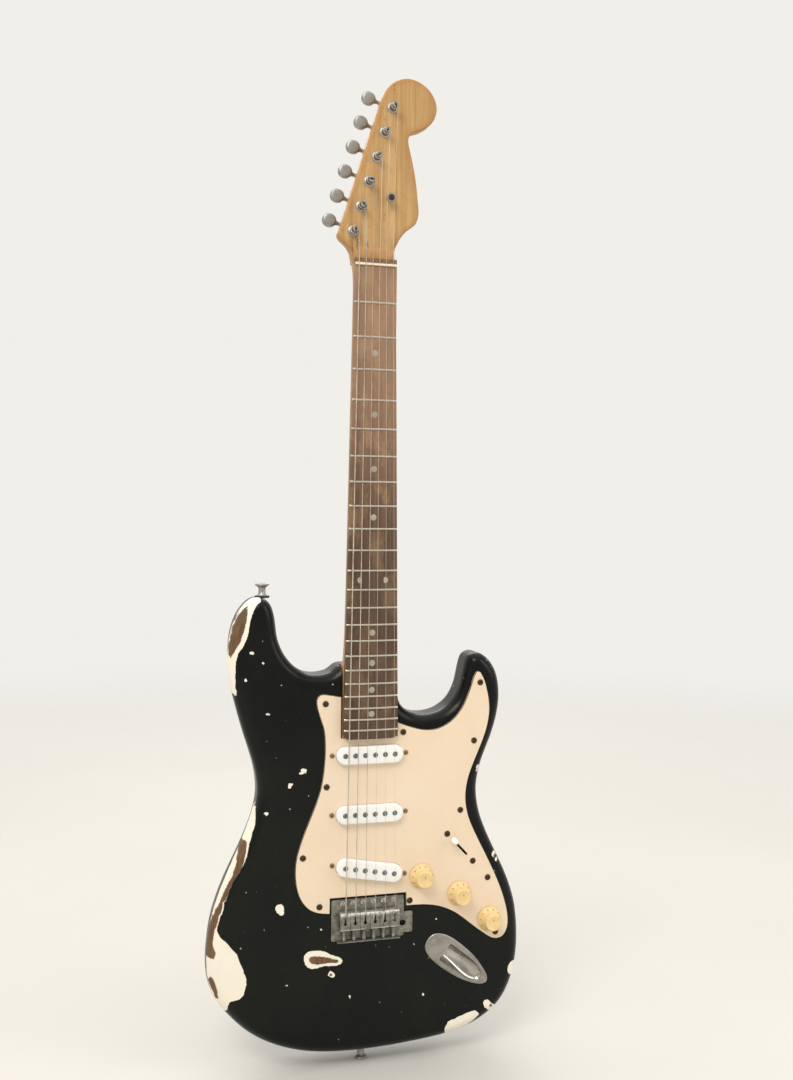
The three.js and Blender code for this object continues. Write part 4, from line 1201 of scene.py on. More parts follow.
def cross_head(radius, height):
    """A domed screw head with a cross recess, standing on y = 0 and facing the player."""
    rim = 0.25 * height
    dome = [(0, -0.6), (radius, -0.6), (radius, rim)]
    for t in (0.25, 0.5, 0.75, 0.92):
        dome.append((radius * math.cos(t * math.pi / 2), rim + (height - rim) * math.sin(t * math.pi / 2)))
    dome.append((0, height))
    arm, half = radius * 0.55, radius * 0.13
    cross = [rectangle(-arm, arm, -half, half), rectangle(-half, half, -arm, arm)]
    cutters = [slab([plan], [(-height - 1, 0), (-height * 0.25, half * 0.6)]) for plan in cross]
    return carved(spun(dome, (0, 0, 0), TOWARD_PLAYER, 28), removed=cutters)


# Each kind of screw head is its mesh, its finish and the record's slot.
HEADS = {
    "guard": (cross_head(3.2, 1.1), "bronze", "dull_steel"),
    "pickup": (cross_head(2.6, 1.2), "brass", "dull_steel"),
    "small": (cross_head(2.3, 0.9), "bronze", "dull_steel"),
    "jack": (cross_head(2.3, 0.9), "tuner_metal", "dull_steel"),
    "bridge": (cross_head(2.8, 1.3), "nickel", "nickel"),
    "neck": (cross_head(4.4, 1.7), "nickel", "nickel"),
    "cover": (cross_head(3.0, 1.1), "bronze", "nickel"),
}


def screw(name, head, place, spin, direction=TOWARD_PLAYER):
    """One screw head at a place, turned by `spin` radians about its own axis."""
    template, finish, slot = HEADS[head]
    turn = Vector(TOWARD_PLAYER).rotation_difference(Vector(direction)).to_matrix().to_4x4()
    spun_about = Matrix.Rotation(spin, 4, Vector(TOWARD_PLAYER))
    mesh = template.copy()
    mesh.transform(Matrix.Translation(Vector(place) * MM) @ turn @ spun_about)
    piece(name, mesh, finish)


def screws(name, head, places, spin, spin_step, direction=TOWARD_PLAYER):
    """A numbered set of screws, each turned further than the one before it."""
    for i, place in enumerate(places):
        screw(f"{name}_{i + 1}", head, place, spin + i * spin_step, direction)


GUARD_SCREWS = [
    (-45.8, 376), (35.7, 344.3), (119, 392.8), (112.8, 332.1), (98.6, 260.1), (129.8, 186.9), (139.3, 128.3),
    (44.6, 169.4), (-50.4, 170.4), (-67.8, 221.3), (-44.1, 291.8),
]


def make_guard():
    loops = section("pickguard", (GUARD_FRONT + GUARD_BACK) / 2)
    # the bevel needs room, so a point very close to the one before it is dropped
    step = np.linalg.norm(loops[0] - np.roll(loops[0], 1, axis=0), axis=1)
    outer = smooth(loops[0][step > 0.8], 2.2)
    windows = [smooth(loop, 1.2, 50) for loop in loops[1:]]
    levels = [(GUARD_FRONT, 0.95), (GUARD_FRONT + 0.1, 0.75), (GUARD_FRONT + 1.2, 0), (GUARD_BACK, 0)]
    holes = [prism(wound(window), GUARD_FRONT - 2, GUARD_BACK + 2) for window in windows]
    plate = carved(slab([outer], levels), removed=holes, smooth_angle=20)
    piece("pickguard_plate", plate, "guard", replaces="pickguard")
    screws("guard_screw", "guard", [(x, GUARD_FRONT, z) for x, z in GUARD_SCREWS], 0.7, 2.3)


# ---------- pickups ----------

PICKUP_HALF_LENGTH = 34.9
PICKUP_RADIUS = 9.15
POLE_PITCH = 10.35
POLE_RADIUS = 2.4
PICKUP_TURNS = {"neck": 0.0, "middle": 0.0, "bridge": -0.172}
PICKUP_SCREW_REACH = 38.7


def make_pickup(name, turn):
    low, high = box_mm(f"{name}_pickup_cover")
    x, _, z = (low + high) / 2
    front, back = low[1], high[1]
    wall = 1.3

    def place(loop):
        return turned(loop, turn, x, z)

    def shell(grow):
        return place(stadium(PICKUP_HALF_LENGTH + grow, PICKUP_RADIUS + grow, 20))

    pole_row = np.array([(offset_of(string) * POLE_PITCH, 0) for string in reversed(STRINGS)])
    poles = place(pole_row)
    outside = slab([shell(0)], rounded(front, back, 1.5, 0, 4))
    cuts = [prism(shell(-wall), front + 1.6, back + 3)]
    cuts += [prism(circle(POLE_RADIUS + 0.3, 28, px, pz), front - 2, front + 4) for px, pz in poles]
    piece(f"{name}_cover", carved(outside, removed=cuts), "white", replaces=f"{name}_pickup_cover")

    flange = prism(shell(-wall - 0.8), front + 2.2, front + 3.8)
    lower_flange = prism(shell(-wall - 0.8), back - 2.6, back - 1)
    core = prism(shell(-wall - 2.6), front + 3.8, back - 2.6)
    piece(f"{name}_bobbin", joined([flange, lower_flange]), "dark", replaces=f"{name}_pickup_coil")
    piece(f"{name}_winding", core, "winding")
    for number, (px, pz) in enumerate(poles):
        proud = 0.3 + 0.25 * math.sin(math.pi * number / 5)
        pole = spun([(0, -5), (POLE_RADIUS, -5), (POLE_RADIUS, proud - 0.3), (POLE_RADIUS - 0.35, proud),
                     (0, proud + 0.02)], (px, front, pz), TOWARD_PLAYER, 32)
        piece(f"{name}_pole_{STRING_COUNT - number}", pole, "pole")
    for number, side in ((1, -1), (2, 1)):
        sx, sz = place(np.array([(side * PICKUP_SCREW_REACH, 0)]))[0]
        screw(f"{name}_pickup_screw_{number}", "pickup", (sx, GUARD_FRONT, sz), 0.4 + side * 1.1 + x)


# ---------- controls ----------

KNOB_NUMBERS = 10
NUMBER_HEIGHT = 3.1
NUMBER_RELIEF = 0.12                   # how far a number stands out of the skirt
FIRST_NUMBER_ANGLE = 240               # degrees from the body's x, anticlockwise
DIAL_SWEEP = 300


def knob_numbers(x, z, base):
    """The dial's numbers, laid on the slope of the skirt."""
    inner, outer = np.array((9.8, 6.2)), np.array((11.9, 3.3))
    slope_out = (outer - inner) / np.linalg.norm(outer - inner)
    centre = (inner + outer) / 2
    parts = []
    for number in range(1, KNOB_NUMBERS + 1):
        curve = bpy.data.curves.new("number", "FONT")
        curve.body = str(number)
        curve.size = NUMBER_HEIGHT * MM
        curve.extrude = NUMBER_RELIEF * MM
        curve.align_x = "CENTER"
        curve.align_y = "CENTER"
        curve.resolution_u = 2
        text = loose_object("number", curve)
        mesh = bpy.data.meshes.new_from_object(text.evaluated_get(bpy.context.evaluated_depsgraph_get()))
        angle = math.radians(FIRST_NUMBER_ANGLE - (number - 1) * DIAL_SWEEP / (KNOB_NUMBERS - 1))
        radial = Vector((math.cos(angle), 0, math.sin(angle)))
        outward = Vector(TOWARD_PLAYER)
        down = (radial * slope_out[0] + outward * slope_out[1]).normalized()
        normal = (radial * -slope_out[1] + outward * slope_out[0]).normalized()
        side = (-down).cross(normal)
        turn = Matrix((side, -down, normal)).transposed().to_4x4()
        place = Vector((x, base, z)) + radial * centre[0] + outward * centre[1]
        mesh.transform(Matrix.Translation(place * MM) @ turn)
        parts.append((vertices_of(mesh), [list(face.vertices) for face in mesh.polygons]))
        bpy.data.objects.remove(text)
        bpy.data.meshes.remove(mesh)
        bpy.data.curves.remove(curve)
    return joined(parts)


def make_knob(name):
    low, high = box_mm(f"{name}_knob")
    x, _, z = (low + high) / 2
    base = GUARD_FRONT - 0.5
    height = base - low[1]
    flutes = 54

    def ripple(angle, level):
        depth = 0.03 if 6.9 < level < height - 0.9 else 0.0
        return 1 + depth * (np.abs(np.sin(angle * flutes / 2)) - 1)

    profile = [(0, 0), (12.4, 0), (12.7, 0.35), (12.7, 1.3), (12.4, 1.9), (11.9, 3.1), (9.8, 6.2),
               (9.5, 6.8), (9.35, 7.2), (9.1, 10), (8.75, height - 1.2), (8.6, height - 0.8),
               (8.2, height - 0.15), (7.8, height), (6.6, height - 0.05), (5.9, height - 0.45),
               (0, height - 0.6)]
    knob = spun(profile, (x, base, z), TOWARD_PLAYER, 216, ripple)
    piece(f"{name}_dial", knob, "cream", body=name, replaces=f"{name}_knob", smooth_angle=50)
    piece(f"{name}_numbers", knob_numbers(x, z, base), "ink", body=name)
    pointer = prism(rectangle(-0.35, 0.35, 1.5, 5.6), base - height + 0.5, base - height + 0.72)
    piece(f"{name}_pointer", moved(pointer, (x, 0, z)), "ink", body=name)
    shaft = spun([(0, -9), (2.9, -9), (2.9, 0.4), (0, 0.4)], (x, base, z), TOWARD_PLAYER, 24)
    piece(f"{name}_shaft", shaft, "steel", body=name)


SELECTOR_PIVOT = (98.85, -11.0, 220.75)
SELECTOR_TURN = -0.8155                # of its slot in the guard, in radians
SELECTOR_LEAN = math.radians(30)
SELECTOR_SCREWS = [(84.6, 235.9), (113.1, 205.6)]


def make_selector():
    turn = Matrix.Rotation(-SELECTOR_TURN, 3, "Y") @ Matrix.Rotation(-SELECTOR_LEAN, 3, "Z")

    def leaning(part):
        return moved(moved(part, turn=turn), SELECTOR_PIVOT)

    blade = prism(rectangle(-2.4, 2.4, -0.7, 0.7), -21, 3)
    tip = slab([stadium(4.2, 3.1, 10)], [(-28.4, 1.6), (-28.2, 1.0), (-27.7, 0.45), (-26.8, 0.1), (-25, 0),
                                         (-22.2, 0.25), (-20.4, 0.7), (-19.8, 1.2)])
    piece("selector_tip", leaning(tip), "white", body="selector", replaces="selector_lever")
    piece("selector_blade", leaning(blade), "steel", body="selector")
    screws("selector_screw", "guard", [(x, GUARD_FRONT, z) for x, z in SELECTOR_SCREWS], 0.3, 1)


# ---------- jack plate and jack ----------

JACK_SCREWS = [(-34.5, 1.0), (36.2, 0.6)]


def dish_depth(along, sideways):
    """Depth of the jack plate's hollow: a steep end, a floor that ramps up, and sloping sides."""
    floor = (10.3 - 7.3 * ease(along, -10, 31)) * ease(along, -17.4, -14.4) * (1 - ease(along, 28.5, 33.6))
    half = dish_half_width(along)
    share = np.clip(np.abs(sideways) / np.maximum(half, 0.01), 0, 1)
    return np.where(half > 0.05, floor * np.clip(1 - share**2.8, 0, 1) ** 0.75, 0.0)


def make_jack_plate():
    plate_back = FACE - 0.3
    thickness = 1.3
    rim = section("jack_plate", plate_back - thickness / 2)
    outline = wound(smooth(rim[0], 1.6))
    local = turned(outline - JACK_PLACE, -JACK_TURN, 0, 0)
    x, z = np.meshgrid(np.arange(-42, 44, 1.3), np.arange(-17, 17.1, 1.3))
    outside = np.c_[x.ravel(), z.ravel()]
    beside = (outside[:, 0] < -18.5) | (np.abs(outside[:, 1]) > dish_half_width(outside[:, 0]) + 0.7)
    along = np.r_[np.arange(-17.8, -13.6, 0.3), -13.3 + 47.2 * np.sin(np.linspace(0, math.pi / 2, 64))]
    shares = np.r_[np.linspace(0, 0.72, 7), 0.82, 0.88, 0.93, 0.965, 0.99, 1.0]
    x, share = np.meshgrid(along, np.r_[-shares[:0:-1], shares])
    hollow = np.c_[x.ravel(), (share * dish_half_width(x)).ravel()]
    hollow = np.unique(np.round(hollow, 4), axis=0)
    grid = np.concatenate([outside[beside], hollow])
    grid = grid[inside(grid, local) & (distance_to(grid, local) > 1.6)]
    rings = [inset(local, depth) for depth in (0.35, 0.8, 1.3)]
    plan = np.concatenate([local, *rings, grid])
    triangles = triangulate([local], np.concatenate([*rings, grid]))
    edge = distance_to(plan, local)
    front = plate_back - thickness + 0.8 * (1 - np.minimum(edge / 1.2, 1)) ** 1.6
    front = front + dish_depth(plan[:, 0], plan[:, 1])
    back = np.maximum(plate_back, front + 0.9)
    back[: len(local)] = plate_back
    turned_plan = turned(plan, JACK_TURN, *JACK_PLACE)
    points = np.concatenate([np.c_[turned_plan[:, 0], front, turned_plan[:, 1]],
                             np.c_[turned_plan[:, 0], back, turned_plan[:, 1]]])
    count, border = len(plan), len(local)
    faces = [list(t) for t in triangles] + [list(t[::-1] + count) for t in triangles]
    faces += [[(i + 1) % border, i, i + count, (i + 1) % border + count] for i in range(border)]

    centre = np.array((-15.5, plate_back + 6, 0.0))
    direction = np.array((0.94, -0.34, 0.0)) / math.hypot(0.94, 0.34)
    turn = Matrix.Rotation(-JACK_TURN, 3, "Y")
    place = (JACK_PLACE[0], 0, JACK_PLACE[1])

    def socket(profile):
        return moved(moved(spun(profile, centre, direction, 48), turn=turn), place)

    way = socket([(0, -6), (5.0, -6), (5.0, 5), (0, 5)])
    mesh = carved((points, faces), removed=[way], smooth_angle=40)
    own = turned(vertices_of(mesh)[:, [0, 2]] - JACK_PLACE, -JACK_TURN, 0, 0)
    # The depth of the hollow, which the plate's material turns into a smoother finish and a painted sheen.
    write_field(mesh, "hollow", dish_depth(own[:, 0], own[:, 1]))
    piece("jack_cup", mesh, "plate", replaces="jack_plate")
    barrel = socket([(3.3, -13), (3.3, 2.6), (3.6, 3), (4.2, 3), (4.65, 2.5), (4.65, -3.6), (7, -3.6),
                     (7, -15), (0.01, -15), (0.01, -13)])
    piece("jack_barrel", barrel, "nickel", replaces="output_jack")
    washer = socket([(4.75, 0.5), (4.75, 1.2), (5.0, 1.5), (6.6, 1.5), (6.9, 1.2), (6.9, 0.5), (4.75, 0.5)])
    piece("jack_washer", washer, "nickel")
    screw_places = turned(np.array(JACK_SCREWS), JACK_TURN, *JACK_PLACE)
    screws("jack_screw", "jack", [(x, plate_back - thickness + 0.25, z) for x, z in screw_places], 0.5, 1)


# ---------- bridge ----------

BRIDGE_SCREWS = 6
BRIDGE_SCREW_Z = 172
STRING_HOLE_Z = 156
ARM_X, ARM_Z = 37, 147
LENGTH_SCREW_Y = -28.4
HEIGHT_SCREW_X, HEIGHT_SCREW_Z = 3.6, 160.2   # across from a saddle's middle, and up the neck
SADDLE_TOP = STRING_AT_BRIDGE + 0.9
SADDLE_HALF_WIDTH = 4.95

def make_bridge():
    z0, z1 = (corner[2] for corner in box_mm("bridge_plate"))
    plate_front, plate_back = PLATE_FRONT, GUARD_BACK
    plan = rectangle(-38, 38.6, z0, z1, 2.2)
    plate = slab([plan], rounded(plate_front, plate_back, 0.6, 0.3, 3))
    lug = slab([rectangle(34, 48, 136.5, 158.5, 2.4)], rounded(plate_front, plate_back - 0.02, 0.5, 0.3, 3))
    bend = [(plate_back, z0), (plate_front - 6.2, z0), (plate_front - 6.8, z0 + 0.25),
            (plate_front - 7, z0 + 0.8), (plate_front - 6.8, z0 + 1.4), (plate_front - 6.2, z0 + 1.7),
            (plate_front - 1.2, z0 + 1.7), (plate_front - 0.3, z0 + 2.2), (plate_front + 0.2, z0 + 3.4),
            (plate_back, z0 + 3.4)]
    upstand = cross_bar(bend[::-1], -33, 33)
    arm_hole = prism(circle(3.2, 32, ARM_X, ARM_Z), plate_front - 4, plate_back + 4)
    string_holes = []
    for string in STRINGS:
        x = bridge_x(string)
        string_holes.append(prism(circle(2.6, 20, x, STRING_HOLE_Z), plate_front - 4, plate_back + 4))
        string_holes.append(tube([(x, LENGTH_SCREW_Y, z) for z in (z0 - 2, z0, z0 + 4)], 1.7, 16))
    mesh = carved(plate, added=[lug, upstand], removed=[arm_hole, *string_holes])
    piece("bridge_base", mesh, "aged", body="bridge", replaces="bridge_plate")
    ring = spun([(3.15, 0), (3.15, 0.5), (3.4, 0.75), (4.1, 0.75), (4.4, 0.5), (4.4, 0), (3.15, 0)],
                (ARM_X, plate_front, ARM_Z), TOWARD_PLAYER, 36)
    piece("arm_hole_ring", ring, "aged", body="bridge")
    screw_places = [(-26.6 + i * 53.7 / (BRIDGE_SCREWS - 1), plate_front, BRIDGE_SCREW_Z)
                    for i in range(BRIDGE_SCREWS)]
    screws("bridge_screw", "bridge", screw_places, 0.9, 1.7)


def saddle_shell(x):
    """A bent steel saddle: its top, and legs turned down at the front and the back."""
    sheet = 1.5
    front_z, back_z = 164.5, 147.0
    top = SADDLE_TOP
    foot = PLATE_FRONT - 0.35
    bend = 1.7
    outer = [(foot, back_z)]
    for angle in np.linspace(0, math.pi / 2, 6):
        outer.append((top + bend - bend * math.sin(angle), back_z + bend - bend * math.cos(angle)))
    for angle in np.linspace(0, math.pi / 2, 6):
        outer.append((top + bend - bend * math.cos(angle), front_z - bend + bend * math.sin(angle)))
    outer.append((foot, front_z))
    inner = [(foot, front_z - sheet), (top + sheet, front_z - sheet), (top + sheet, back_z + sheet),
             (foot, back_z + sheet)]
    shell = cross_bar((outer + inner)[::-1], x - SADDLE_HALF_WIDTH, x + SADDLE_HALF_WIDTH)
    string_slot = prism(rectangle(x - 0.8, x + 0.8, 153, 161.6, 0.5), top - 4, top + 4)
    string_hole = prism(circle(1.7, 24, x, 154.4), top - 4, top + 4)
    notch = prism(rectangle(x - 0.7, x + 0.7, 161, 166), top - 4, STRING_AT_BRIDGE + 1.3)
    screw_ways = [prism(circle(1.05, 20, x + side * HEIGHT_SCREW_X, HEIGHT_SCREW_Z), top - 4, top + 3)
                  for side in (-1, 1)]
    rear_way = tube([(x, LENGTH_SCREW_Y, back_z + reach) for reach in (-3, 0, 3)], 1.5, 16)
    mesh = carved(shell, removed=[string_slot, string_hole, notch, *screw_ways, rear_way])
    points = vertices_of(mesh)
    # The points along the front and back bends carry a painted highlight, which the aged_nickel material
    # draws as a bright streak.
    at_bend = (points[:, 2] > front_z - bend - 0.1) | (points[:, 2] < back_z + bend - 0.3)
    write_field(mesh, "worn", at_bend & (points[:, 1] < top + bend + 0.1))
    return mesh


def make_saddles():
    rear = box_mm("bridge_plate")[0][2]
    set_screw = [(0, -10.6), (0.95, -10.6), (0.95, -0.05), (0.75, 0.1), (0.5, 0.1), (0.45, -0.6), (0, -0.6)]
    length_screw = [(0, 0), (1.9, 0), (2.6, 0.6), (2.6, 1.1), (2.2, 1.5), (1.25, 1.5), (1.25, 16), (0, 16.3)]
    for string in STRINGS:
        x = bridge_x(string)
        piece(f"saddle_shell_{string}", saddle_shell(x), "aged", body="bridge", replaces=f"saddle_{string}")
        set_screws = [spun(set_screw, (x + sideways, SADDLE_TOP, HEIGHT_SCREW_Z), TOWARD_PLAYER, 24)
                      for sideways in (-HEIGHT_SCREW_X, HEIGHT_SCREW_X)]
        piece(f"height_screws_{string}", joined(set_screws), "steel", body="bridge")
        rod = spun(length_screw, (x, LENGTH_SCREW_Y, rear - 0.4), UP_THE_NECK, 28)
        piece(f"length_screw_{string}", rod, "nickel", body="bridge")
        coil = helix((x, LENGTH_SCREW_Y, rear + 2.6), UP_THE_NECK, 1.95, 1.18, 9.5, per_turn=20)
        piece(f"length_spring_{string}", tube(coil, 0.38, 8), "spring", body="bridge")


def make_tremolo():
    low, high = box_mm("tremolo_block")
    block = slab([rectangle(low[0], high[0], low[2], high[2], 1.5)], rounded(low[1], high[1], 0.8, 0.8, 3))
    holes = []
    for string in STRINGS:
        x = bridge_x(string)
        holes.append(prism(circle(2.2, 20, x, STRING_HOLE_Z), low[1] - 3, high[1] + 3))
    piece("inertia_block", carved(block, removed=holes), "steel", body="bridge", replaces="tremolo_block")

    for number in (1, 2, 3):
        low, high = box_mm(f"tremolo_spring_{number}")
        centre = (low + high) / 2
        wire = 0.62
        radius = (high[0] - low[0]) / 2 - wire
        hook = 9.0
        turns = 46
        pitch = (high[2] - low[2] - 2 * hook) / turns
        coil = helix((centre[0], centre[1], low[2] + hook), UP_THE_NECK, radius, pitch, turns, per_turn=14)
        first = [(centre[0], centre[1], z) for z in np.linspace(low[2], low[2] + hook - 2, 5)]
        last = [(centre[0], centre[1], z) for z in np.linspace(high[2] - hook + 2, high[2], 5)]
        spring = piece(f"spring_coil_{number}", tube([*first, *coil, *last], wire, 8), "spring", body=None,
                       replaces=f"tremolo_spring_{number}")
        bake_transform(spring)


# ---------- back plates and strap buttons ----------


def back_plate(node, corner, corner_steps, edge):
    """A plate on the guitar's back with rounded corners and a rounded outer edge."""
    low, high = box_mm(node)
    outline = rectangle(low[0], high[0], low[2], high[2], corner, corner_steps)
    return slab([outline], rounded(low[1], high[1], 0.1, edge, 3))


def sinks(profile, places, sides):
    return [spun(profile, place, BEHIND, sides) for place in places]


def make_back():
    low, high = box_mm("neck_plate")
    margin = 6.8
    places = [(x, high[1], z) for x in (low[0] + margin, high[0] - margin)
              for z in (low[2] + margin, high[2] - margin)]
    cups = sinks([(0, -1.1), (4.7, -1.1), (5.5, 0.5), (0, 0.5)], places, 40)
    piece("neck_backplate", carved(back_plate("neck_plate", 7, 10, 0.7), removed=cups), "nickel",
          replaces="neck_plate")
    screws("neck_screw", "neck", [(x, y - 1.45, z) for x, y, z in places], 0, 1.3, BEHIND)

    low, high = box_mm("tremolo_cover")
    middle_z = (low[2] + high[2]) / 2
    places = [(x, high[1], z) for x in (low[0] + 5.4, high[0] - 5.4)
              for z in (low[2] + 6, middle_z, high[2] - 6)]
    cups = sinks([(0, -1.0), (3.2, -1.0), (3.9, 0.5), (0, 0.5)], places, 36)
    _, *openings = section("tremolo_cover", (low[1] + high[1]) / 2)
    holes = [prism(circle(4.2, 28, *loop.mean(axis=0)), low[1] - 2, high[1] + 2) for loop in openings]
    piece("back_cover", carved(back_plate("tremolo_cover", 5, 8, 0.9), removed=[*holes, *cups]), "guard",
          replaces="tremolo_cover")
    screws("cover_screw", "cover", [(x, y - 1.15, z) for x, y, z in places], 0, 0.9, BEHIND)


def make_strap_buttons():
    for name, direction in (("end_strap_button", (0, 0, -1)), ("horn_strap_button", (0, 0, 1))):
        low, high = box_mm(name)
        base = middle(name)
        base[2] = high[2] if direction[2] < 0 else low[2]
        reach = high[2] - low[2]
        profile = [(0, 1.1), (5.2, 1.1), (5.3, 1.5), (4.4, 2.3), (3.7, 4), (3.5, 6), (3.6, 8.2), (4.2, 9.7),
                   (5.8, 10.9), (6.9, 11.6), (7.2, 12.2), (7.1, 12.9), (6.5, 13.4), (5.6, reach),
                   (3.4, reach), (3.2, reach - 0.7), (0, reach - 0.7)]
        short = name.split("_")[0]
        piece(f"{short}_button", spun(profile, base, direction, 64), "tuner_metal", replaces=name)
        washer = [(0, -0.9), (7.2, -0.9), (7.6, -0.4), (7.6, 0.7), (7.2, 1.1), (0, 1.1)]
        piece(f"{short}_felt_washer", spun(washer, base, direction, 40), "felt")
        tip = base + np.array(direction) * (reach - 1.45)
        screw(f"{short}_button_screw", "small", tip, 0.6, direction=direction)


# ---------- tuners ----------

# From a post: its housing's middle and the key's shaft up the row, and the key out from the shaft
HOUSING_UP = 3.6
SHAFT_UP = 7
KEY_OUT = 23.5

def make_tuner(string):
    x, _, z = middle(f"tuner_post_{string}")
    low, high = box_mm(f"tuner_post_{string}")
    centre = np.array((x, 0, z))
    base_y, tip_y = high[1], low[1]
    length = base_y - tip_y
    profile = [(0, 0), (POST_RADIUS, 0), (POST_RADIUS, length - 5.6), (2.75, length - 4.4),
               (2.7, length - 3), (POST_RADIUS, length - 1.7), (POST_RADIUS, length - 0.5), (2.6, length),
               (0, length)]
    post = spun(profile, (x, base_y, z), TOWARD_PLAYER, 32)
    angle = 0.5 + string * 0.7
    slot = moved(prism(rectangle(-4, 4, -0.55, 0.55), tip_y - 2, tip_y + 3.4),
                 turn=Matrix.Rotation(angle, 3, "Y"))
    bore = spun([(0, 0), (1.1, 0), (1.1, 8), (0, 8)], (x, tip_y + 6, z), TOWARD_PLAYER, 20)
    post_body = f"tuner_post_{string}"
    piece(f"post_{string}", carved(post, removed=[moved(slot, centre), bore]), "tuner_metal", body=post_body,
          replaces=post_body)

    radius = string_radius(string)
    turns = 2.6 + 0.35 * string / 2
    wraps = helix((x, tip_y + STRING_ON_POST, z), BEHIND, POST_RADIUS + radius + 0.05, 2.15 * radius + 0.1,
                  turns, per_turn=24)
    piece(f"string_wraps_{string}", tube(wraps, radius, 10), string_finish(string), body=post_body)

    ring = [(3.45, 0), (5.7, 0), (5.7, 0.35), (5.2, 0.9), (4.3, 1.5), (3.6, 1.6), (3.45, 1.4), (3.45, 0)]
    bushing = spun(ring, (x, HEAD_FACE + 0.02, z), TOWARD_PLAYER, 48)
    piece(f"bushing_{string}", bushing, "tuner_metal")

    low, high = box_mm(f"tuner_housing_{string}")
    turn_angle = math.atan2(ROW_OUT[2], ROW_OUT[0])
    hx, _, hz = centre + ROW_UP * HOUSING_UP
    plan = turned(rectangle(-8.4, 8.4, -11.6, 11.6, 3.4, 8), turn_angle, hx, hz)
    cup = slab([plan], rounded(low[1], high[1], 0.05, 2.2, 5))
    shaft_y = middle(f"tuner_button_{string}")[1]
    axis_point = centre + ROW_UP * SHAFT_UP + np.array((0, shaft_y, 0))
    way = tube([axis_point + ROW_OUT * d for d in (-5, 4, 14)], 2.4, 24)
    post_way = prism(circle(POST_RADIUS + 0.3, 28, x, z), low[1] - 3, base_y + 0.3)
    piece(f"housing_{string}", carved(cup, removed=[way, post_way]), "tuner_metal",
          replaces=f"tuner_housing_{string}")

    profile = [(0, -4.6), (2.05, -4.6), (2.05, 8.2), (2.9, 8.8), (3.1, 9.6), (2.4, 10.6), (1.9, 12.4),
               (2.0, 14.8), (3.0, 16.9), (3.2, 19.5), (0, 19.5)]
    shaft = spun(profile, axis_point, ROW_OUT, 32)
    half_levels = [(1.5, 0.08), (2.5, 0.45), (3.15, 1.1), (3.5, 1.9), (3.6, 2.6)]
    levels = [(-y, depth) for y, depth in reversed(half_levels)] + [(0, 0)] + half_levels
    button = slab([turned(stadium(7.4, 6.9, 20), turn_angle, 0, 0)], levels)
    button = moved(button, axis_point + ROW_OUT * KEY_OUT)
    mesh = carved(button, added=[shaft], smooth_angle=50)
    key_body = f"tuner_button_{string}"
    piece(f"tuner_key_{string}", mesh, "tuner_metal", body=key_body, replaces=key_body)


def make_string_tree():
    x, _, z = middle("string_tree")
    base_y = box_mm("string_tree")[1][1]
    profile = [(0, 0), (2.6, 0), (2.4, 0.5), (2.0, 0.9), (2.0, 5.2), (1.7, 6.1), (4.4, 6.8), (4.9, 7.3),
               (4.9, 7.8), (4.5, 8.2), (3.4, 8.3), (2.6, 7.7), (0, 7.6)]
    piece("string_guide", spun(profile, (x, base_y, z), TOWARD_PLAYER, 40), "tuner_metal",
          replaces="string_tree")
    screw("string_guide_screw", "guard", (x, base_y - 8.1, z), 0.4)


# ---------- strings ----------


def rounded_path(corners, radius, spacing):
    """A path through corner points, each bend drawn as a short curve."""
    corners = [np.array(c, float) for c in corners]
    path = [corners[0]]
    for before, corner, after in zip(corners, corners[1:], corners[2:]):
        reach = min(radius, 0.4 * np.linalg.norm(corner - before), 0.4 * np.linalg.norm(after - corner))
        a = corner + (before - corner) / np.linalg.norm(before - corner) * reach
        b = corner + (after - corner) / np.linalg.norm(after - corner) * reach
        for t in np.linspace(0, 1, 5):
            path.append((1 - t) ** 2 * a + 2 * t * (1 - t) * corner + t * t * b)
    path.append(corners[-1])
    dense = [path[0]]
    for a, b in zip(path, path[1:]):
        steps = max(1, int(np.linalg.norm(b - a) / spacing))
        dense += [a + (b - a) * (k + 1) / steps for k in range(steps)]
    return dense


STRING_BEND_Z = 162.4
STRING_TREE_Y = -28.2
STRINGS_UNDER_TREE = 2


def make_string(string):
    radius = string_radius(string)
    post_low, _ = box_mm(f"tuner_post_{string}")
    post_x, _, post_z = middle(f"tuner_post_{string}")
    x_at_nut, x_at_bridge = nut_x(string), bridge_x(string)
    edge_x = post_x + POST_RADIUS + 0.05 + radius
    path = [(edge_x, post_low[1] + STRING_ON_POST, post_z)]
    if string <= STRINGS_UNDER_TREE:
        tree_z = middle("string_tree")[2]
        share = (tree_z - NUT_Z) / (post_z - NUT_Z)
        path.append((x_at_nut + (edge_x - x_at_nut) * share, STRING_TREE_Y, tree_z))
    path += [(x_at_nut, STRING_AT_NUT, NUT_Z + 1.5), (x_at_bridge, STRING_AT_BRIDGE, STRING_BEND_Z),
             (x_at_bridge, STRING_AT_BRIDGE + 3.6, STRING_BEND_Z - 3.8),
             (x_at_bridge, PLATE_FRONT - 0.3, STRING_BEND_Z - 6.2)]
    made = piece(f"string_wire_{string}", tube(rounded_path(path, 1.6, 6.0), radius), string_finish(string),
                 body=None, replaces=f"string_{string}")
    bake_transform(made)


# ---------- kept CAD pieces ----------


def dress_kept_nodes():
    material, _ = FINISHES["steel"]
    for node in ("potentiometers_on_shield", "selector_switch", "spring_claw"):
        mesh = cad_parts[node].data
        mesh.materials.clear()
        mesh.materials.append(material)


# ---------- stage and light ----------


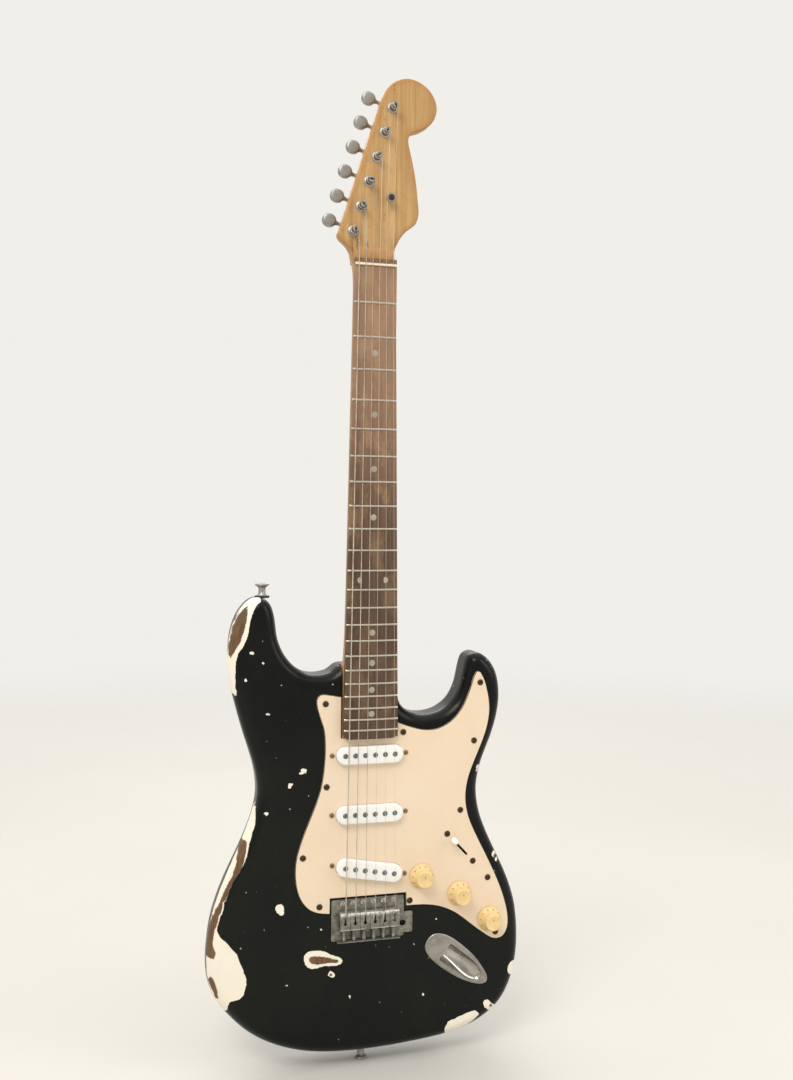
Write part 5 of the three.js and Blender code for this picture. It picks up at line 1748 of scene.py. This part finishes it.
def make_stage():
    """A plain round floor that fades into the background, and a soft pale world around it."""
    s = Shader("studio_floor")
    cloud = s.between(s.noise(1.5, 3), 0.3, 0.7)
    x, y = (s.math("POWER", s.coordinate(axis), 2.0) for axis in (0, 1))
    reach = s.math("SQRT", s.plus(x, y))
    s.set(base_color=s.mix(cloud, (0.60, 0.585, 0.54), (0.62, 0.605, 0.565)), roughness=0.7,
          alpha=s.between(reach, 0.9, 3.1, 1.0, 0.0))
    mesh = bpy.data.meshes.new("studio_floor")
    edge = circle(3.2, 160)
    mesh.from_pydata([(x, y, 0) for x, y in edge], [], [list(range(len(edge)))])
    mesh.materials.append(s.material)
    loose_object("studio_floor", mesh)

    world = bpy.data.worlds.new("studio")
    world.use_nodes = True
    nodes, links = world.node_tree.nodes, world.node_tree.links
    direction = nodes.new("ShaderNodeTexCoord")
    parts = nodes.new("ShaderNodeSeparateXYZ")
    shade = nodes.new("ShaderNodeMapRange")
    for key, value in (("From Min", -0.9), ("From Max", 0.6), ("To Min", 0.52), ("To Max", 0.88)):
        shade.inputs[key].default_value = value
    background = nodes["Background"]
    background.inputs["Color"].default_value = (1.0, 0.98, 0.935, 1)
    links.new(direction.outputs["Generated"], parts.inputs[0])
    links.new(parts.outputs["Y"], shade.inputs["Value"])
    links.new(shade.outputs[0], background.inputs["Strength"])
    bpy.context.scene.world = world
    bpy.context.scene.view_settings.view_transform = "Standard"


def area_light(name, place, aim, size, power, colour):
    data = bpy.data.lights.new(name, "AREA")
    data.shape = "RECTANGLE"
    data.size, data.size_y = size
    data.energy = power
    data.color = colour
    made = loose_object(name, data)
    made.location = place
    made.rotation_mode = "QUATERNION"
    made.rotation_quaternion = (Vector(aim) - Vector(place)).to_track_quat("-Z", "Y")


def make_lights():
    area_light("key_light", (-1.2, -1.7, 2.4), (0, 0, 0.5), (1.4, 1.0), 40, (1.0, 0.97, 0.92))
    area_light("fill_light", (1.9, -1.3, 1.3), (0, 0, 0.4), (0.9, 1.5), 11, (0.96, 0.98, 1.0))
    area_light("rim_light", (0.4, 1.9, 1.9), (0, 0, 0.5), (1.6, 1.0), 16, (1.0, 0.99, 0.97))
    area_light("ceiling_light", (0, 0, 5), (0, 0, 0), (7, 7), 120, (1.0, 0.99, 0.97))


make_body()
make_neck()
make_fingerboard()
make_frets()
make_dots()
make_nut()
make_guard()
for pickup_name, pickup_turn in PICKUP_TURNS.items():
    make_pickup(pickup_name, pickup_turn)
for knob_name in ("volume", "tone_neck", "tone_middle"):
    make_knob(knob_name)
make_selector()
make_jack_plate()
make_bridge()
make_saddles()
make_tremolo()
make_back()
make_strap_buttons()
for string_number in STRINGS:
    make_tuner(string_number)
    make_string(string_number)
make_string_tree()
dress_kept_nodes()
make_stage()
make_lights()
